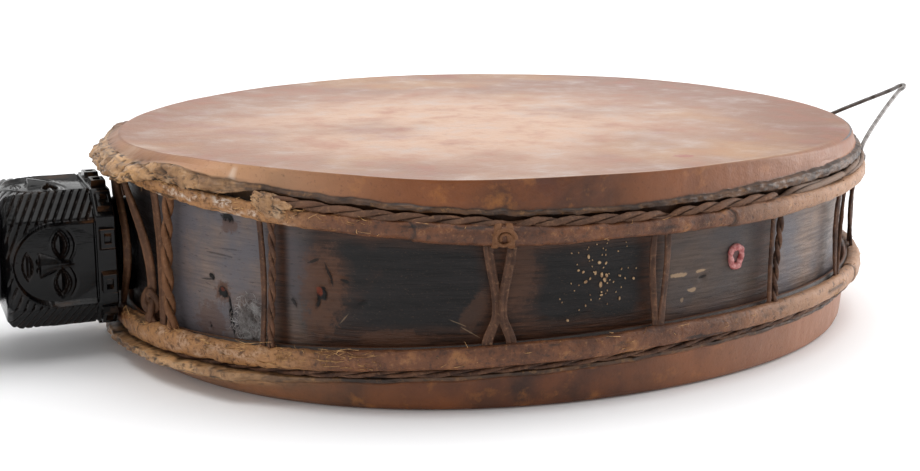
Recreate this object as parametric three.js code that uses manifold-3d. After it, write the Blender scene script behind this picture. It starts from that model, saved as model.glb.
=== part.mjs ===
// A shaman's double-headed frame drum with a carved handle, lying flat on its lower head.
//
// Millimetres, +Z up. The origin is on the drum's own axis, at its underside. The handle
// points along -X. A bent wooden hoop carries two skins. Each skin's margin is held down by
// a cane hoop, and rawhide laces pull the two cane hoops together over the wood. The handle
// is one piece of carved hardwood: a short tenon in the hoop, a waist for the lashings, a
// block-cut crown, a head with four calm faces, collars, a round grip and a three-edged
// blade. A wire loop for hanging is hooked on the upper cane hoop, across from the handle.

import * as THREE from "three";
import { mergeVertices } from "three/addons/utils/BufferGeometryUtils.js";
import Module from "manifold-3d";

const wasm = await Module();
wasm.setup();

const RAD = Math.PI / 180;
const TURN = 2 * Math.PI;
const GAP = 0.3;                        // left between pieces that touch

// ---------------------------------------------------------------- the drum's outline
const RADIUS = 180;                     // mean radius of the drum at its skins' edge
const OVAL = 0.0564;                    // how much longer than wide the hoop has pulled
const OVAL_AT = 18 * RAD;               // where its long axis lies
const EGG = 0.0207;                     // how much blunter one end is
const EGG_AT = -37.4 * RAD;
const DEPTH = 95.5;                     // from skin to skin
const FOOT_SCALE = 0.987;               // the lower edge is a little smaller than the upper
const SEGMENTS = 48;                    // flats around everything that goes round the drum

// ---------------------------------------------------------------- wood, skin, cane, cord
const HOOP_WALL = 8;
const SKIN = 1.6;
const CANE_OUT = 6;                     // how far the cane hoops stand out from the skin
const UPPER_CANE = 7;                   // height of the upper cane hoop
const LOWER_CANE = 8.8;
const CORD_RADIUS = 2.2;                // twisted rawhide above the upper cane hoop
const THIN_CORD_RADIUS = 1.7;           // and below the lower one
const CORD_FROM = 217.5 * RAD;          // the upper cord stops short of the gathered hem
const CORD_TO = 517.5 * RAD;
const CANE_LEVEL = 74.2;                // mid-height of the upper cane hoop, in slow waves
const CANE_WAVE = 1.1;
const CANE_WAVE_AT = 335 * RAD;
const CANE_RISE = 12;                   // it climbs this much towards the handle
const CANE_RISE_REACH = 72 * RAD;
const LOWER_WAVE_AT = 25 * RAD;         // the lower cane hoop's waves are measured from here
const GATHER_AT = 187.5 * RAD;          // the upper hem is gathered out over the cane here
const GATHER_REACH = 30 * RAD;
const GATHER_RAMP = 7.5 * RAD;
const DRAPE_AT = 182 * RAD;             // and hangs down in front of it here
const DRAPE_REACH = 20 * RAD;
const DRAPE_RAMP = 8 * RAD;
const FLARE_AT = 192 * RAD;             // the lower hem stands out under the handle
const FLARE_REACH = 36 * RAD;

// ---------------------------------------------------------------- the handle
const HANDLE_HEIGHT = 45.5;             // height of its axis above the ground
const TENON_RADIUS = 11;
const TENON_END = 172;                  // distances along the handle are from the drum's axis
const WAIST_START = 184;
const WAIST_RADIUS = 22;
const CROWN_START = 197;
const CROWN_END = 206;
const HEAD_END = 245;
const FACE_DISTANCE = 30.5;             // from the handle's axis to each of its four faces
const FACE_HALF = 20;                   // half the width of a face
const HANDLE_END = 470;
const HAIR_STROKES = 8;
const HAIR_PITCH = 4.1;
const HAIR_CUT = 1.7;                   // width of a stroke
const HAIR_SLANT = -20 * RAD;
const CROWN_BLOCK = [6.5, 8.6, 5];      // length along the handle, width, height
const CROWN_PIT = [2.8, 3.6, 4];
const BLOCK_ACROSS = 9.4;               // from the middle of a face
const FIELD_DEPTH = 0.9;                // how far a face is sunk below its border
const PIT_DEPTH = 1.1;                  // and its eyes and mouth below that
const EYES_FROM_CROWN = 15.5;
const EYE_ACROSS = 8.6;
const MOUTH_FROM_CROWN = 29;
const FACE_TURNS = [0, 90, 180, 270];
const BAND_TURNS = [45, 135, 225, 315];

// ---------------------------------------------------------------- laces
const LACE_ANGLES = [202, 217.4, 246.3, 269, 291, 310.7, 332];
const FAR_LACES = 8;                    // on the side away from the well-worn one
const FAR_LACE_FROM = 353.5;
const FAR_LACE_STEP = 20.8;
const LAST_LACE = 158;
const TWISTED_LACES = [0, 15];          // the thick single ones on either side of the handle
const CROSSED_LACES = [2, 6, 9, 13];
const STRAND_WIDTH = 3.2;
const STRAND_THICKNESS = 1.8;
const KNOT_RADII = [3.4, 5, 7.5];
const KNOT_HEIGHT = 30.5;
const KNOT_OUT = 2.4;

// ---------------------------------------------------------------- hanging wire
const WIRE_RADIUS = 0.9;
const WIRE_FEET = [0, -23];             // degrees around the drum where it hooks on the cane
const WIRE_TIP = { angle: -14.5, radius: 225, height: 105 };

// ================================================================ outline functions

/** Radius of the drum at its skins' edge, at an angle around it. */
function rim(angle) {
  const oval = OVAL * Math.cos(2 * (angle - OVAL_AT));
  const egg = EGG * Math.cos(3 * (angle - EGG_AT));
  return RADIUS * (1 + oval + egg);
}

/** Angle between two directions around the drum, from 0 to half a turn. */
function awayFrom(angle, middle) {
  return Math.abs(((angle - middle + 3 * Math.PI) % TURN) - Math.PI);
}

/** 1 around a direction, falling smoothly to 0 over a ramp that ends at its reach. */
function near(angle, middle, reach, ramp) {
  return THREE.MathUtils.smoothstep(reach - awayFrom(angle, middle), 0, ramp);
}

/** Mid-height of the upper cane hoop: it climbs towards the edge behind the handle. */
function upperCane(angle) {
  const wave = CANE_WAVE * Math.cos(2 * (angle - CANE_WAVE_AT));
  return CANE_LEVEL + wave + CANE_RISE * near(angle, GATHER_AT, CANE_RISE_REACH, CANE_RISE_REACH);
}

/** Mid-height of the lower cane hoop. */
function lowerCane(angle) {
  const t = angle + LOWER_WAVE_AT;
  return 23.04 + 6.55 * Math.cos(t) - 1.75 * Math.cos(2 * t);
}

/** Radius of the wooden hoop's outside at a height: it narrows slightly to the foot. */
function hoopOutside(angle, height) {
  const scale = THREE.MathUtils.lerp(FOOT_SCALE, 1, height / DEPTH);
  return rim(angle) * scale - SKIN - GAP;
}

// ================================================================ geometry helpers

/** Delete what isn't position, merge shared vertices and drop triangles with no area. */
function weld(source) {
  const geometry = source.clone();
  geometry.deleteAttribute("normal");
  geometry.deleteAttribute("uv");
  const merged = mergeVertices(geometry, 1e-4);
  const kept = [];
  const index = merged.index.array;
  for (let i = 0; i < index.length; i += 3) {
    const [a, b, c] = [index[i], index[i + 1], index[i + 2]];
    if (a !== b && b !== c && c !== a) kept.push(a, b, c);
  }
  merged.setIndex(kept);
  return merged;
}

/** Six times the volume that a geometry encloses: negative when its faces point in. */
function signedVolume(geometry) {
  const position = geometry.attributes.position;
  const [a, b, c] = [new THREE.Vector3(), new THREE.Vector3(), new THREE.Vector3()];
  let sum = 0;
  for (let i = 0; i < geometry.index.count; i += 3) {
    a.fromBufferAttribute(position, geometry.index.getX(i));
    b.fromBufferAttribute(position, geometry.index.getX(i + 1));
    c.fromBufferAttribute(position, geometry.index.getX(i + 2));
    sum += a.dot(b.cross(c));
  }
  return sum;
}

/** A closed geometry from points and triangles, with its faces turned outwards. */
function closed(positions, triangles) {
  const geometry = new THREE.BufferGeometry();
  geometry.setAttribute("position", new THREE.Float32BufferAttribute(positions, 3));
  geometry.setIndex(triangles);
  const welded = weld(geometry);
  if (signedVolume(welded) < 0) welded.setIndex([...welded.index.array].reverse());
  return welded;
}

/** Sweep a profile of [radius, height] points, which may change with the angle, around Z. */
function around(profileAt, segments = SEGMENTS) {
  const positions = [];
  const triangles = [];
  const count = profileAt(0).length;
  for (let i = 0; i < segments; i++) {
    const angle = (i / segments) * TURN;
    for (const [radius, height] of profileAt(angle)) {
      positions.push(radius * Math.cos(angle), radius * Math.sin(angle), height);
    }
  }
  for (let i = 0; i < segments; i++) {
    const next = (i + 1) % segments;
    for (let j = 0; j < count; j++) {
      const up = (j + 1) % count;
      const [a, b] = [i * count + j, i * count + up];
      const [c, d] = [next * count + up, next * count + j];
      triangles.push(a, b, c, a, c, d);
    }
  }
  return closed(positions, triangles);
}

/** Join cross-sections of equal point count into one solid with flat ends. */
function loft(sections) {
  const count = sections[0].length;
  const positions = sections.flat().flatMap((point) => point.toArray());
  const triangles = [];
  for (let k = 0; k + 1 < sections.length; k++) {
    for (let i = 0; i < count; i++) {
      const next = (i + 1) % count;
      const [a, b] = [k * count + i, k * count + next];
      const [c, d] = [b + count, a + count];
      triangles.push(a, b, c, a, c, d);
    }
  }
  for (const [section, start] of [[sections[0], 0], [sections.at(-1), (sections.length - 1) * count]]) {
    const centre = section.reduce((sum, point) => sum.add(point), new THREE.Vector3());
    const middle = positions.length / 3;
    positions.push(...centre.divideScalar(count).toArray());
    for (let i = 0; i < count; i++) {
      const next = (i + 1) % count;
      if (start === 0) triangles.push(middle, start + next, start + i);
      else triangles.push(middle, start + i, start + next);
    }
  }
  return closed(positions, triangles);
}

/** A geometry as a solid that can be joined and cut. */
function solid(geometry) {
  const merged = weld(geometry.index ? geometry : mergeVertices(geometry));
  return new wasm.Manifold(new wasm.Mesh({
    numProp: 3,
    vertProperties: new Float32Array(merged.attributes.position.array),
    triVerts: new Uint32Array(merged.index.array),
  }));
}

/** A joined or cut solid as a geometry again. */
function fromSolid(result) {
  const mesh = result.getMesh();
  const geometry = new THREE.BufferGeometry();
  const positions = new THREE.Float32BufferAttribute(mesh.vertProperties, 3);
  geometry.setAttribute("position", positions);
  geometry.setIndex([...mesh.triVerts]);
  return geometry;
}

/** A point given by its angle around the drum, its radius and its height. */
function polar(angle, radius, height) {
  return new THREE.Vector3(radius * Math.cos(angle), radius * Math.sin(angle), height);
}

// ================================================================ hoop, skins, cane, cord

/** The bent wooden hoop, with a round mortise for the handle's tenon. */
function hoop() {
  const [low, high] = [SKIN + GAP, DEPTH - SKIN - GAP];
  const wall = around((angle) => [
    [hoopOutside(angle, low), low],
    [hoopOutside(angle, high), high],
    [hoopOutside(angle, high) - HOOP_WALL, high],
    [hoopOutside(angle, low) - HOOP_WALL, low],
  ]);
  const [bore, through] = [TENON_RADIUS + GAP, 6 * HOOP_WALL];
  const mortise = new THREE.CylinderGeometry(bore, bore, through, 20);
  mortise.rotateZ(Math.PI / 2);
  mortise.translate(-RADIUS, 0, HANDLE_HEIGHT);
  return fromSolid(solid(wall).subtract(solid(mortise)));
}

/** The upper skin: a flat head, a rounded edge, a skirt and a hem folded out over the cord.
    Behind the handle the hem is gathered out over the cane, and hangs down in front of it. */
function upperSkin() {
  const { lerp } = THREE.MathUtils;
  return around((angle) => {
    const edge = rim(angle);
    const gathered = near(angle, GATHER_AT, GATHER_REACH, GATHER_RAMP);
    const draped = near(angle, DRAPE_AT, DRAPE_REACH, DRAPE_RAMP);
    const caneTop = upperCane(angle) + UPPER_CANE / 2;
    const overCord = 2 * CORD_RADIUS + 2 * GAP;
    const hemLow = caneTop + lerp(lerp(overCord, GAP + 0.1, gathered), -UPPER_CANE, draped);
    const hemHigh = hemLow + lerp(2.6, 5, gathered);
    const hemOut = lerp(lerp(2.8, 8.5, gathered), 12.5, draped);
    const inner = lerp(1.4, CANE_OUT + GAP + 0.1, gathered);
    const tuck = caneTop - UPPER_CANE;
    return [
      [0, DEPTH],
      [edge - 9, DEPTH],
      [edge - 1.8, DEPTH],
      [edge + 6 * draped, lerp(Math.max(DEPTH - 2.4, hemHigh + 0.8), caneTop + 0.8, draped)],
      [edge + hemOut, hemHigh],
      [edge + hemOut, hemLow],
      [edge + inner, hemLow],
      [edge + inner, Math.max(hemLow, caneTop - 1.4)],
      [edge + lerp(0.6, CANE_OUT / 2, gathered), caneTop + lerp(overCord, GAP + 0.1, gathered)],
      [edge, caneTop + lerp(overCord, -1.3, gathered)],
      [edge, tuck],
      [edge - SKIN, tuck],
      [edge - SKIN, DEPTH - SKIN],
      [0, DEPTH - SKIN],
    ];
  });
}

/** The lower skin: the same, upside down, with a narrow hem. The drum lies on it. */
function lowerSkin() {
  const { lerp } = THREE.MathUtils;
  return around((angle) => {
    const foot = rim(angle) * FOOT_SCALE;
    const edge = rim(angle);
    const flare = near(angle, FLARE_AT, FLARE_REACH, FLARE_REACH / 2);
    const caneLow = lowerCane(angle) - LOWER_CANE / 2;
    const hemHigh = caneLow - 2 * THIN_CORD_RADIUS - 2 * GAP;
    const hemLow = hemHigh - lerp(2.6, 3.6, flare);
    const tuck = caneLow + LOWER_CANE;
    const inside = hoopOutside(angle, SKIN) + GAP;
    return [
      [0, SKIN],
      [inside, SKIN],
      [edge - SKIN, tuck],
      [edge, tuck],
      [edge, hemHigh],
      [edge + lerp(1.4, 9.5, flare), hemHigh - 0.4],
      [edge + lerp(1.2, 9, flare), hemLow],
      [foot + 2 * flare, 2.4],
      [foot - 1.8, 0],
      [0, 0],
    ];
  });
}

/** A cane hoop of six flats, held against the skin at the height that a function gives. */
function cane(heightAt, tall) {
  return around((angle) => {
    const [inner, outer] = [rim(angle) + GAP, rim(angle) + CANE_OUT];
    const middle = (inner + outer) / 2;
    const height = heightAt(angle);
    return [
      [inner, height - tall / 4],
      [middle, height - tall / 2],
      [outer, height - tall / 4],
      [outer, height + tall / 4],
      [middle, height + tall / 2],
      [inner, height + tall / 4],
    ];
  });
}

/** Five points around a cord's centre line, in the upright plane at that angle. */
function cordSection(angle, height, radius) {
  const centre = rim(angle) + GAP + radius;
  return Array.from({ length: 5 }, (_, i) => {
    const turn = (i / 5) * TURN;
    return [centre + radius * Math.cos(turn), height + radius * Math.sin(turn)];
  });
}

/** The twisted rawhide between the upper hem and the cane, open behind the handle. */
function upperCord() {
  const steps = Math.round((CORD_TO - CORD_FROM) / (TURN / SEGMENTS));
  const sections = Array.from({ length: steps + 1 }, (_, i) => {
    const angle = THREE.MathUtils.lerp(CORD_FROM, CORD_TO, i / steps);
    const height = upperCane(angle) + UPPER_CANE / 2 + GAP + CORD_RADIUS;
    return cordSection(angle, height, CORD_RADIUS).map(([r, z]) => polar(angle, r, z));
  });
  return loft(sections);
}

/** The thinner rawhide under the lower cane, all the way round. */
function lowerCord() {
  return around((angle) => {
    const height = lowerCane(angle) - LOWER_CANE / 2 - GAP - THIN_CORD_RADIUS;
    return cordSection(angle, height, THIN_CORD_RADIUS);
  });
}

// ================================================================ laces and lashings

/** A four-sided strand between the cane hoops, from places given by the share of its drop. */
function strand(placeAt, width, thickness, steps) {
  const sections = Array.from({ length: steps + 1 }, (_, i) => {
    const share = i / steps;
    const { angle, out } = placeAt(share);
    const top = upperCane(angle) - UPPER_CANE / 2 - GAP;
    const bottom = lowerCane(angle) + LOWER_CANE / 2 + GAP;
    const centre = polar(angle, rim(angle) + out, THREE.MathUtils.lerp(top, bottom, share));
    const sideways = polar(angle + Math.PI / 2, width / 2, 0);
    const outwards = polar(angle, thickness / 2, 0);
    return [[-1, -1], [1, -1], [1, 1], [-1, 1]].map(([s, o]) =>
      centre.clone().addScaledVector(sideways, s).addScaledVector(outwards, o));
  });
  return loft(sections);
}

/** How far a lace stands off the skin's edge line: furthest at the cane hoops. */
function laceOut(share) {
  return 3.1 - 1.4 * Math.sin(Math.PI * share);
}

/** Two flat strands pinched together at both ends, or crossing at mid-height. */
function lace(degrees, crossed) {
  const middle = degrees * RAD;
  const pair = (share) => 0.7 + 2 * Math.sin(Math.PI * share);
  const cross = (share) => 3.4 * Math.cos(Math.PI * share);
  const sideways = crossed ? cross : pair;
  const strands = [-1, 1].map((side) => strand((share) => ({
    angle: middle + side * sideways(share) / rim(middle),
    out: laceOut(share) + (crossed ? 0.25 * side : 0),
  }), STRAND_WIDTH, STRAND_THICKNESS, 3));
  return fromSolid(solid(strands[0]).add(solid(strands[1])));
}

/** One thick twisted strand. */
function twistedLace(degrees) {
  return strand((share) => ({ angle: degrees * RAD, out: 3.1 }), 5.4, 4.6, 4);
}

/** A strap from cane to cane beside or over the handle's waist, on one side of it. */
function lashing(side, place) {
  return strand((share) => {
    const middle = Math.sin(Math.PI * share);
    const degrees = THREE.MathUtils.lerp(place.top, place.bottom, share) + place.bow * middle;
    return {
      angle: Math.PI + side * degrees * RAD,
      out: THREE.MathUtils.lerp(place.endsOut, place.middleOut, middle),
    };
  }, place.width, place.thickness, 6);
}

/** The overhand knot that closes the second lashing on the worn side. */
function knottedLashing(side, place) {
  const angle = Math.PI + side * place.bottom * RAD;
  const knot = new THREE.IcosahedronGeometry(1, 1);
  knot.scale(...KNOT_RADII);
  knot.rotateX(-side * 14 * RAD);
  knot.rotateZ(angle);
  knot.translate(...polar(angle, rim(angle) + KNOT_OUT, KNOT_HEIGHT).toArray());
  return fromSolid(solid(lashing(side, place)).add(solid(knot)));
}

// ================================================================ the carved handle

/** Radius of the four-faced section at a turn around the handle: flats with cut corners. */
function fourFaced(turn) {
  const quarter = Math.PI / 2;
  const fromFace = Math.abs(((turn + quarter / 2) % quarter) - quarter / 2);
  const corner = (FACE_DISTANCE + FACE_HALF) / Math.SQRT2;
  const onFace = FACE_DISTANCE / Math.cos(fromFace);
  const onCorner = corner / Math.cos(quarter / 2 - fromFace);
  return Math.min(onFace, onCorner) / FACE_DISTANCE;
}

/** Radius of the three-edged section: full at the edges, hollow between them. */
function threeEdged(turn) {
  return 0.42 + 0.58 * Math.pow(0.5 + 0.5 * Math.cos(3 * turn), 2);
}

/** A ring of points across the handle, at a distance from the drum's axis. */
function handleSection(distance, radius, shapeAt = () => 1) {
  const edge = Math.atan2(FACE_HALF, FACE_DISTANCE);
  const inQuarter = [0, edge / 2, edge, Math.PI / 4, Math.PI / 2 - edge, Math.PI / 2 - edge / 2];
  const turns = FACE_TURNS.flatMap((start) => inQuarter.map((turn) => start * RAD + turn));
  return turns.map((turn) => {
    const r = radius * shapeAt(turn);
    return new THREE.Vector3(-distance, -r * Math.cos(turn), HANDLE_HEIGHT + r * Math.sin(turn));
  });
}

/** Everything of the handle that is turned or shaved, before the carving. */
function handleBlank() {
  const waist = [[WAIST_START, WAIST_RADIUS], [CROWN_START - 2, WAIST_RADIUS]];
  const faced = [
    [CROWN_START, FACE_DISTANCE - 1.5], [CROWN_START + 1, FACE_DISTANCE + 0.5],
    [CROWN_END, FACE_DISTANCE + 0.5], [CROWN_END + 0.5, FACE_DISTANCE],
    [HEAD_END - 6, FACE_DISTANCE], [HEAD_END, FACE_DISTANCE - 3.5],
  ];
  const collarsAndGrip = [
    [246, 22], [250, 20.5], [253, 28], [256, 30.5], [261, 30.5], [264, 27], [267, 19],
    [272, 17.5], [292, 20.5], [312, 17.5], [317, 19], [319, 24], [327, 27.5], [335, 24],
    [338, 17], [344, 16],
  ];
  const blade = [[346, 20], [356, 31], [364, 32], [420, 18.5], [HANDLE_END - 6, 7], [HANDLE_END, 3]];
  return loft([
    ...waist.map(([s, r]) => handleSection(s, r)),
    ...faced.map(([s, r]) => handleSection(s, r, fourFaced)),
    ...collarsAndGrip.map(([s, r]) => handleSection(s, r)),
    ...blade.map(([s, r]) => handleSection(s, r, threeEdged)),
  ]);
}

/** Put a tool, drawn with x the distance from the drum and z the height off the handle's
    axis, on the side of the handle at that turn. */
function onHandle(geometry, degrees) {
  const turn = degrees * RAD;
  const along = new THREE.Vector3(-1, 0, 0);
  const outwards = new THREE.Vector3(0, -Math.cos(turn), Math.sin(turn));
  const across = new THREE.Vector3().crossVectors(outwards, along);
  const place = new THREE.Matrix4().makeBasis(along, across, outwards);
  return solid(geometry.applyMatrix4(place.setPosition(0, 0, HANDLE_HEIGHT)));
}

/** An upright cutter from a height above the handle's axis, in the outline of a shape. */
function cutter(shape, from) {
  const geometry = new THREE.ExtrudeGeometry(shape, { depth: 20, bevelEnabled: false, curveSegments: 5 });
  return geometry.translate(0, 0, from);
}

/** The tongue-shaped field of a face: straight at the crown, round at the chin. */
function faceField() {
  const [top, cheek] = [CROWN_END + 0.8, HEAD_END - 20];
  const shape = new THREE.Shape();
  shape.moveTo(top, -FACE_HALF + 1.5);
  shape.lineTo(cheek, -FACE_HALF + 1.5);
  shape.absellipse(cheek, 0, 17.5, FACE_HALF - 1.5, -Math.PI / 2, Math.PI / 2);
  shape.lineTo(top, FACE_HALF - 1.5);
  return shape;
}

/** An almond, pointed at both ends, lying across the face. */
function almond(distance, across, halfLength, halfHeight) {
  const shape = new THREE.Shape();
  shape.moveTo(distance, across - halfLength);
  shape.quadraticCurveTo(distance + 2 * halfHeight, across, distance, across + halfLength);
  shape.quadraticCurveTo(distance - 2 * halfHeight, across, distance, across - halfLength);
  return shape;
}

/** The wedge of a nose: bridge, two wings and the tip. */
function nose() {
  const [bridge, base, low] = [CROWN_END + 12, CROWN_END + 25, FACE_DISTANCE - 1.5];
  const corners = [bridge, 0, low, base, -4.2, low, base, 4.2, low, base - 0.8, 0, low + 4];
  return closed(corners, [0, 2, 1, 0, 1, 3, 1, 2, 3, 2, 0, 3]);
}

/** Cut one face: its field, two eyes and a mouth, with the nose left standing. */
function carveFace(head, degrees) {
  const field = FACE_DISTANCE - FIELD_DEPTH;
  const [eyes, mouth] = [CROWN_END + EYES_FROM_CROWN, CROWN_END + MOUTH_FROM_CROWN];
  const pits = [-EYE_ACROSS, EYE_ACROSS].map((across) => almond(eyes, across, 6.2, 2.6));
  pits.push(almond(mouth, 0, 6, 1.6));
  let carved = head.subtract(onHandle(cutter(faceField(), field), degrees));
  for (const pit of pits) carved = carved.subtract(onHandle(cutter(pit, field - PIT_DEPTH), degrees));
  return carved.add(onHandle(nose(), degrees));
}

/** Cut the slanting strokes of hair along one corner of the head. */
function carveHair(head, degrees) {
  const corner = (FACE_DISTANCE + FACE_HALF) / Math.SQRT2;
  let carved = head;
  for (let k = 0; k < HAIR_STROKES; k++) {
    const stroke = new THREE.BoxGeometry(HAIR_CUT, 24, HAIR_CUT);
    stroke.rotateY(Math.PI / 4);
    stroke.rotateZ(HAIR_SLANT);
    stroke.translate(CROWN_END + 3.2 + k * HAIR_PITCH, 0, corner + 0.2);
    carved = carved.subtract(onHandle(stroke, degrees));
  }
  return carved;
}

/** Add one block of the crown, with a square pit in it. */
function addBlock(head, degrees, across, height) {
  const middle = (CROWN_START + CROWN_END) / 2;
  const block = new THREE.BoxGeometry(...CROWN_BLOCK);
  block.translate(middle, across, height + 0.4);
  const pit = new THREE.BoxGeometry(...CROWN_PIT);
  pit.translate(middle, across, height + 3.6);
  return head.add(onHandle(block, degrees)).subtract(onHandle(pit, degrees));
}

/** The whole handle, its end hollowed to sit against the hoop. */
function carvedHandle() {
  const drum = around((angle) => [
    [0, -20],
    [hoopOutside(angle, -20) + GAP, -20],
    [hoopOutside(angle, 120) + GAP, 120],
    [0, 120],
  ]);
  const tenon = new THREE.CylinderGeometry(TENON_RADIUS, TENON_RADIUS, CROWN_START - TENON_END, 20);
  tenon.rotateZ(Math.PI / 2);
  tenon.translate(-(CROWN_START + TENON_END) / 2, 0, HANDLE_HEIGHT);
  let handle = solid(handleBlank()).subtract(solid(drum));
  for (const degrees of FACE_TURNS) {
    handle = carveFace(handle, degrees);
    for (const side of [-1, 1]) {
      handle = addBlock(handle, degrees, side * BLOCK_ACROSS, FACE_DISTANCE);
    }
  }
  for (const degrees of BAND_TURNS) {
    handle = carveHair(handle, degrees);
    handle = addBlock(handle, degrees, 0, (FACE_DISTANCE + FACE_HALF) / Math.SQRT2);
  }
  return fromSolid(handle.add(solid(tenon)));
}

// ================================================================ the hanging wire

/** The wire: hooked under the cane at both feet, rising to one rounded tip. */
function wireLoop() {
  const foot = (degrees) => {
    const angle = degrees * RAD;
    const [out, height] = [rim(angle) + CANE_OUT, upperCane(angle)];
    const clear = GAP + WIRE_RADIUS;
    return [
      polar(angle, out - 3, height - UPPER_CANE / 2 - clear - 0.2),
      polar(angle, out + clear - 0.4, height - UPPER_CANE / 2),
      polar(angle, out + clear + 0.4, height + 1.5),
    ];
  };
  const tip = (aside, back) => {
    const angle = (WIRE_TIP.angle + aside) * RAD;
    return polar(angle, WIRE_TIP.radius - back, WIRE_TIP.height - 0.6 * back);
  };
  const route = new THREE.CatmullRomCurve3([
    ...foot(WIRE_FEET[0]),
    tip(0.9, 3),
    tip(0, 0),
    tip(-0.9, 3),
    ...foot(WIRE_FEET[1]).reverse(),
  ], false, "centripetal");
  const section = new THREE.Shape().absarc(0, 0, WIRE_RADIUS, 0, TURN);
  return new THREE.ExtrudeGeometry(section, { steps: 26, curveSegments: 3, extrudePath: route });
}

// ================================================================ the scene graph

const MATERIALS = {
  black_hardwood: { color: 0x1c1a19, roughness: 0.22, metalness: 0 },
  smoked_wood: { color: 0x33302f, roughness: 0.5, metalness: 0 },
  goatskin: { color: 0xb08d74, roughness: 0.55, metalness: 0 },
  cane: { color: 0x8a5c36, roughness: 0.6, metalness: 0 },
  rawhide: { color: 0x5d4130, roughness: 0.7, metalness: 0 },
  steel_wire: { color: 0x9b9896, roughness: 0.35, metalness: 0.9 },
};

const LASHINGS = [
  { top: 1.5, bottom: 4.6, bow: 5.1, endsOut: 2.8, middleOut: 2.2, width: 2, thickness: 3 },
  { top: 8.5, bottom: 16.4, bow: 3.1, endsOut: 3.1, middleOut: 1.6, width: 3, thickness: 2.4 },
  { top: 18.8, bottom: 19.6, bow: -0.2, endsOut: 3.1, middleOut: 1.4, width: 3.4, thickness: 1.8 },
];

const group = new THREE.Group();

/** Add one named piece to the drum. */
function place(name, finish, geometry) {
  const mesh = new THREE.Mesh(geometry, new THREE.MeshStandardMaterial(MATERIALS[finish]));
  mesh.name = name;
  group.add(mesh);
}

place("shell", "smoked_wood", hoop());
place("head_upper", "goatskin", upperSkin());
place("head_lower", "goatskin", lowerSkin());
place("ring_upper", "cane", cane(upperCane, UPPER_CANE));
place("ring_lower", "cane", cane(lowerCane, LOWER_CANE));
place("cord_upper", "rawhide", upperCord());
place("cord_lower", "rawhide", lowerCord());
place("handle", "black_hardwood", carvedHandle());
place("wire_loop", "steel_wire", wireLoop());

const laceAngles = [...LACE_ANGLES];
for (let k = 0; k < FAR_LACES; k++) laceAngles.push((FAR_LACE_FROM + k * FAR_LACE_STEP) % 360);
laceAngles.push(LAST_LACE);
laceAngles.forEach((degrees, k) => {
  const thick = TWISTED_LACES.includes(k);
  const geometry = thick ? twistedLace(degrees) : lace(degrees, CROSSED_LACES.includes(k));
  place(`lace_${String(k + 1).padStart(2, "0")}`, "rawhide", geometry);
});

LASHINGS.forEach((strap, k) => {
  const knotted = k === 1;
  place(`lashing_front_${k + 1}`, "rawhide", knotted ? knottedLashing(1, strap) : lashing(1, strap));
  place(`lashing_back_${k + 1}`, "rawhide", lashing(-1, strap));
});

export default group;
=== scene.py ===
"""A shaman's double-headed frame drum, lying on its lower skin, with a carved handle.

Everything is in metres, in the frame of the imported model: +Z up, the drum's axis through the
origin, the handle along -X. Pieces are surfaces worked out with numpy from the same few
measures as the solids: the oval outline, the wavy heights of the two cane hoops, and the
handle's stations. Lengths in the functions below are in millimetres until a mesh is made.
"""
import math

import bpy
import numpy as np
from mathutils import Matrix, Vector


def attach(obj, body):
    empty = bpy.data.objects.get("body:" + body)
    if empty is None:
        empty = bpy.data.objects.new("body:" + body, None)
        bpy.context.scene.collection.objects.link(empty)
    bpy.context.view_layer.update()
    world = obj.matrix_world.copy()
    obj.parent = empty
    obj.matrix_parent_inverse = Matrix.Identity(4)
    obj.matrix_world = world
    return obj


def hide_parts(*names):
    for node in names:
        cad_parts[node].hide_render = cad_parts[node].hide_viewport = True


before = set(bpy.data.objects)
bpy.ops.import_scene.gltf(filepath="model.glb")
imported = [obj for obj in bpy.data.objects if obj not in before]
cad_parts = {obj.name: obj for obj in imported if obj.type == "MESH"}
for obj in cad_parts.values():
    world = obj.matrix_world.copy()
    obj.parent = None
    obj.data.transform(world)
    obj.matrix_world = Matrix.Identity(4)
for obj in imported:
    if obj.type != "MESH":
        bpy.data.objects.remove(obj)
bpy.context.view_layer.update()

MM = 0.001
TURN = 2 * math.pi

# ---------------------------------------------------------------- measures, in millimetres
RADIUS = 180.0
OVAL, OVAL_AT = 0.0564, math.radians(18)
EGG, EGG_AT = 0.0207, math.radians(-37.4)
DEPTH = 95.5
FOOT_SCALE = 0.987
SKIN = 1.6
HOOP_WALL = 8.0
CANE_OUT = 6.0
UPPER_CANE, LOWER_CANE = 7.0, 8.8
LOWER_WAVE_AT = math.radians(25)
HANDLE_HEIGHT = 45.5
CROWN_START, CROWN_END = 197.0, 206.0
HEAD_END, HANDLE_END = 245.0, 470.0
FACE_DISTANCE, FACE_HALF = 30.5, 20.0
CORNER_DISTANCE = (FACE_DISTANCE + FACE_HALF) / math.sqrt(2)
CORNER_HALF = (FACE_DISTANCE - FACE_HALF) / math.sqrt(2)
LACE_ANGLES = [202, 217.4, 246.3, 269, 291, 310.7, 332]
LACE_ANGLES += [(353.5 + 20.8 * k) % 360 for k in range(8)] + [158]
TWISTED_LACES, CROSSED_LACES = (0, 15), (2, 6, 9, 13)
WIRE_FEET, WIRE_TIP = (0.0, -23.0), (-14.5, 225.0, 105.0)
WIRE_RADIUS = 1.1
KNOT_HEIGHT = 30.5
LENS = 53.864
CAMERA_PLACE, CAMERA_AIM, CAMERA_ROLL = (-296.95, -636.81, 197.41), (-14.45, 6.35, 31.83), 0.28
ROOM_FRONT = (-0.39, -0.86, 0.33)

# where small things sit: degrees round the drum, and height on the wood
SPECKS_AT, WAX_AT, WEB_AT = (261.3, 56), (284.2, 54.2), (213.6, 31.5)
HEM_END_AT, THONG_AT = 218.6, 246.6

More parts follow.
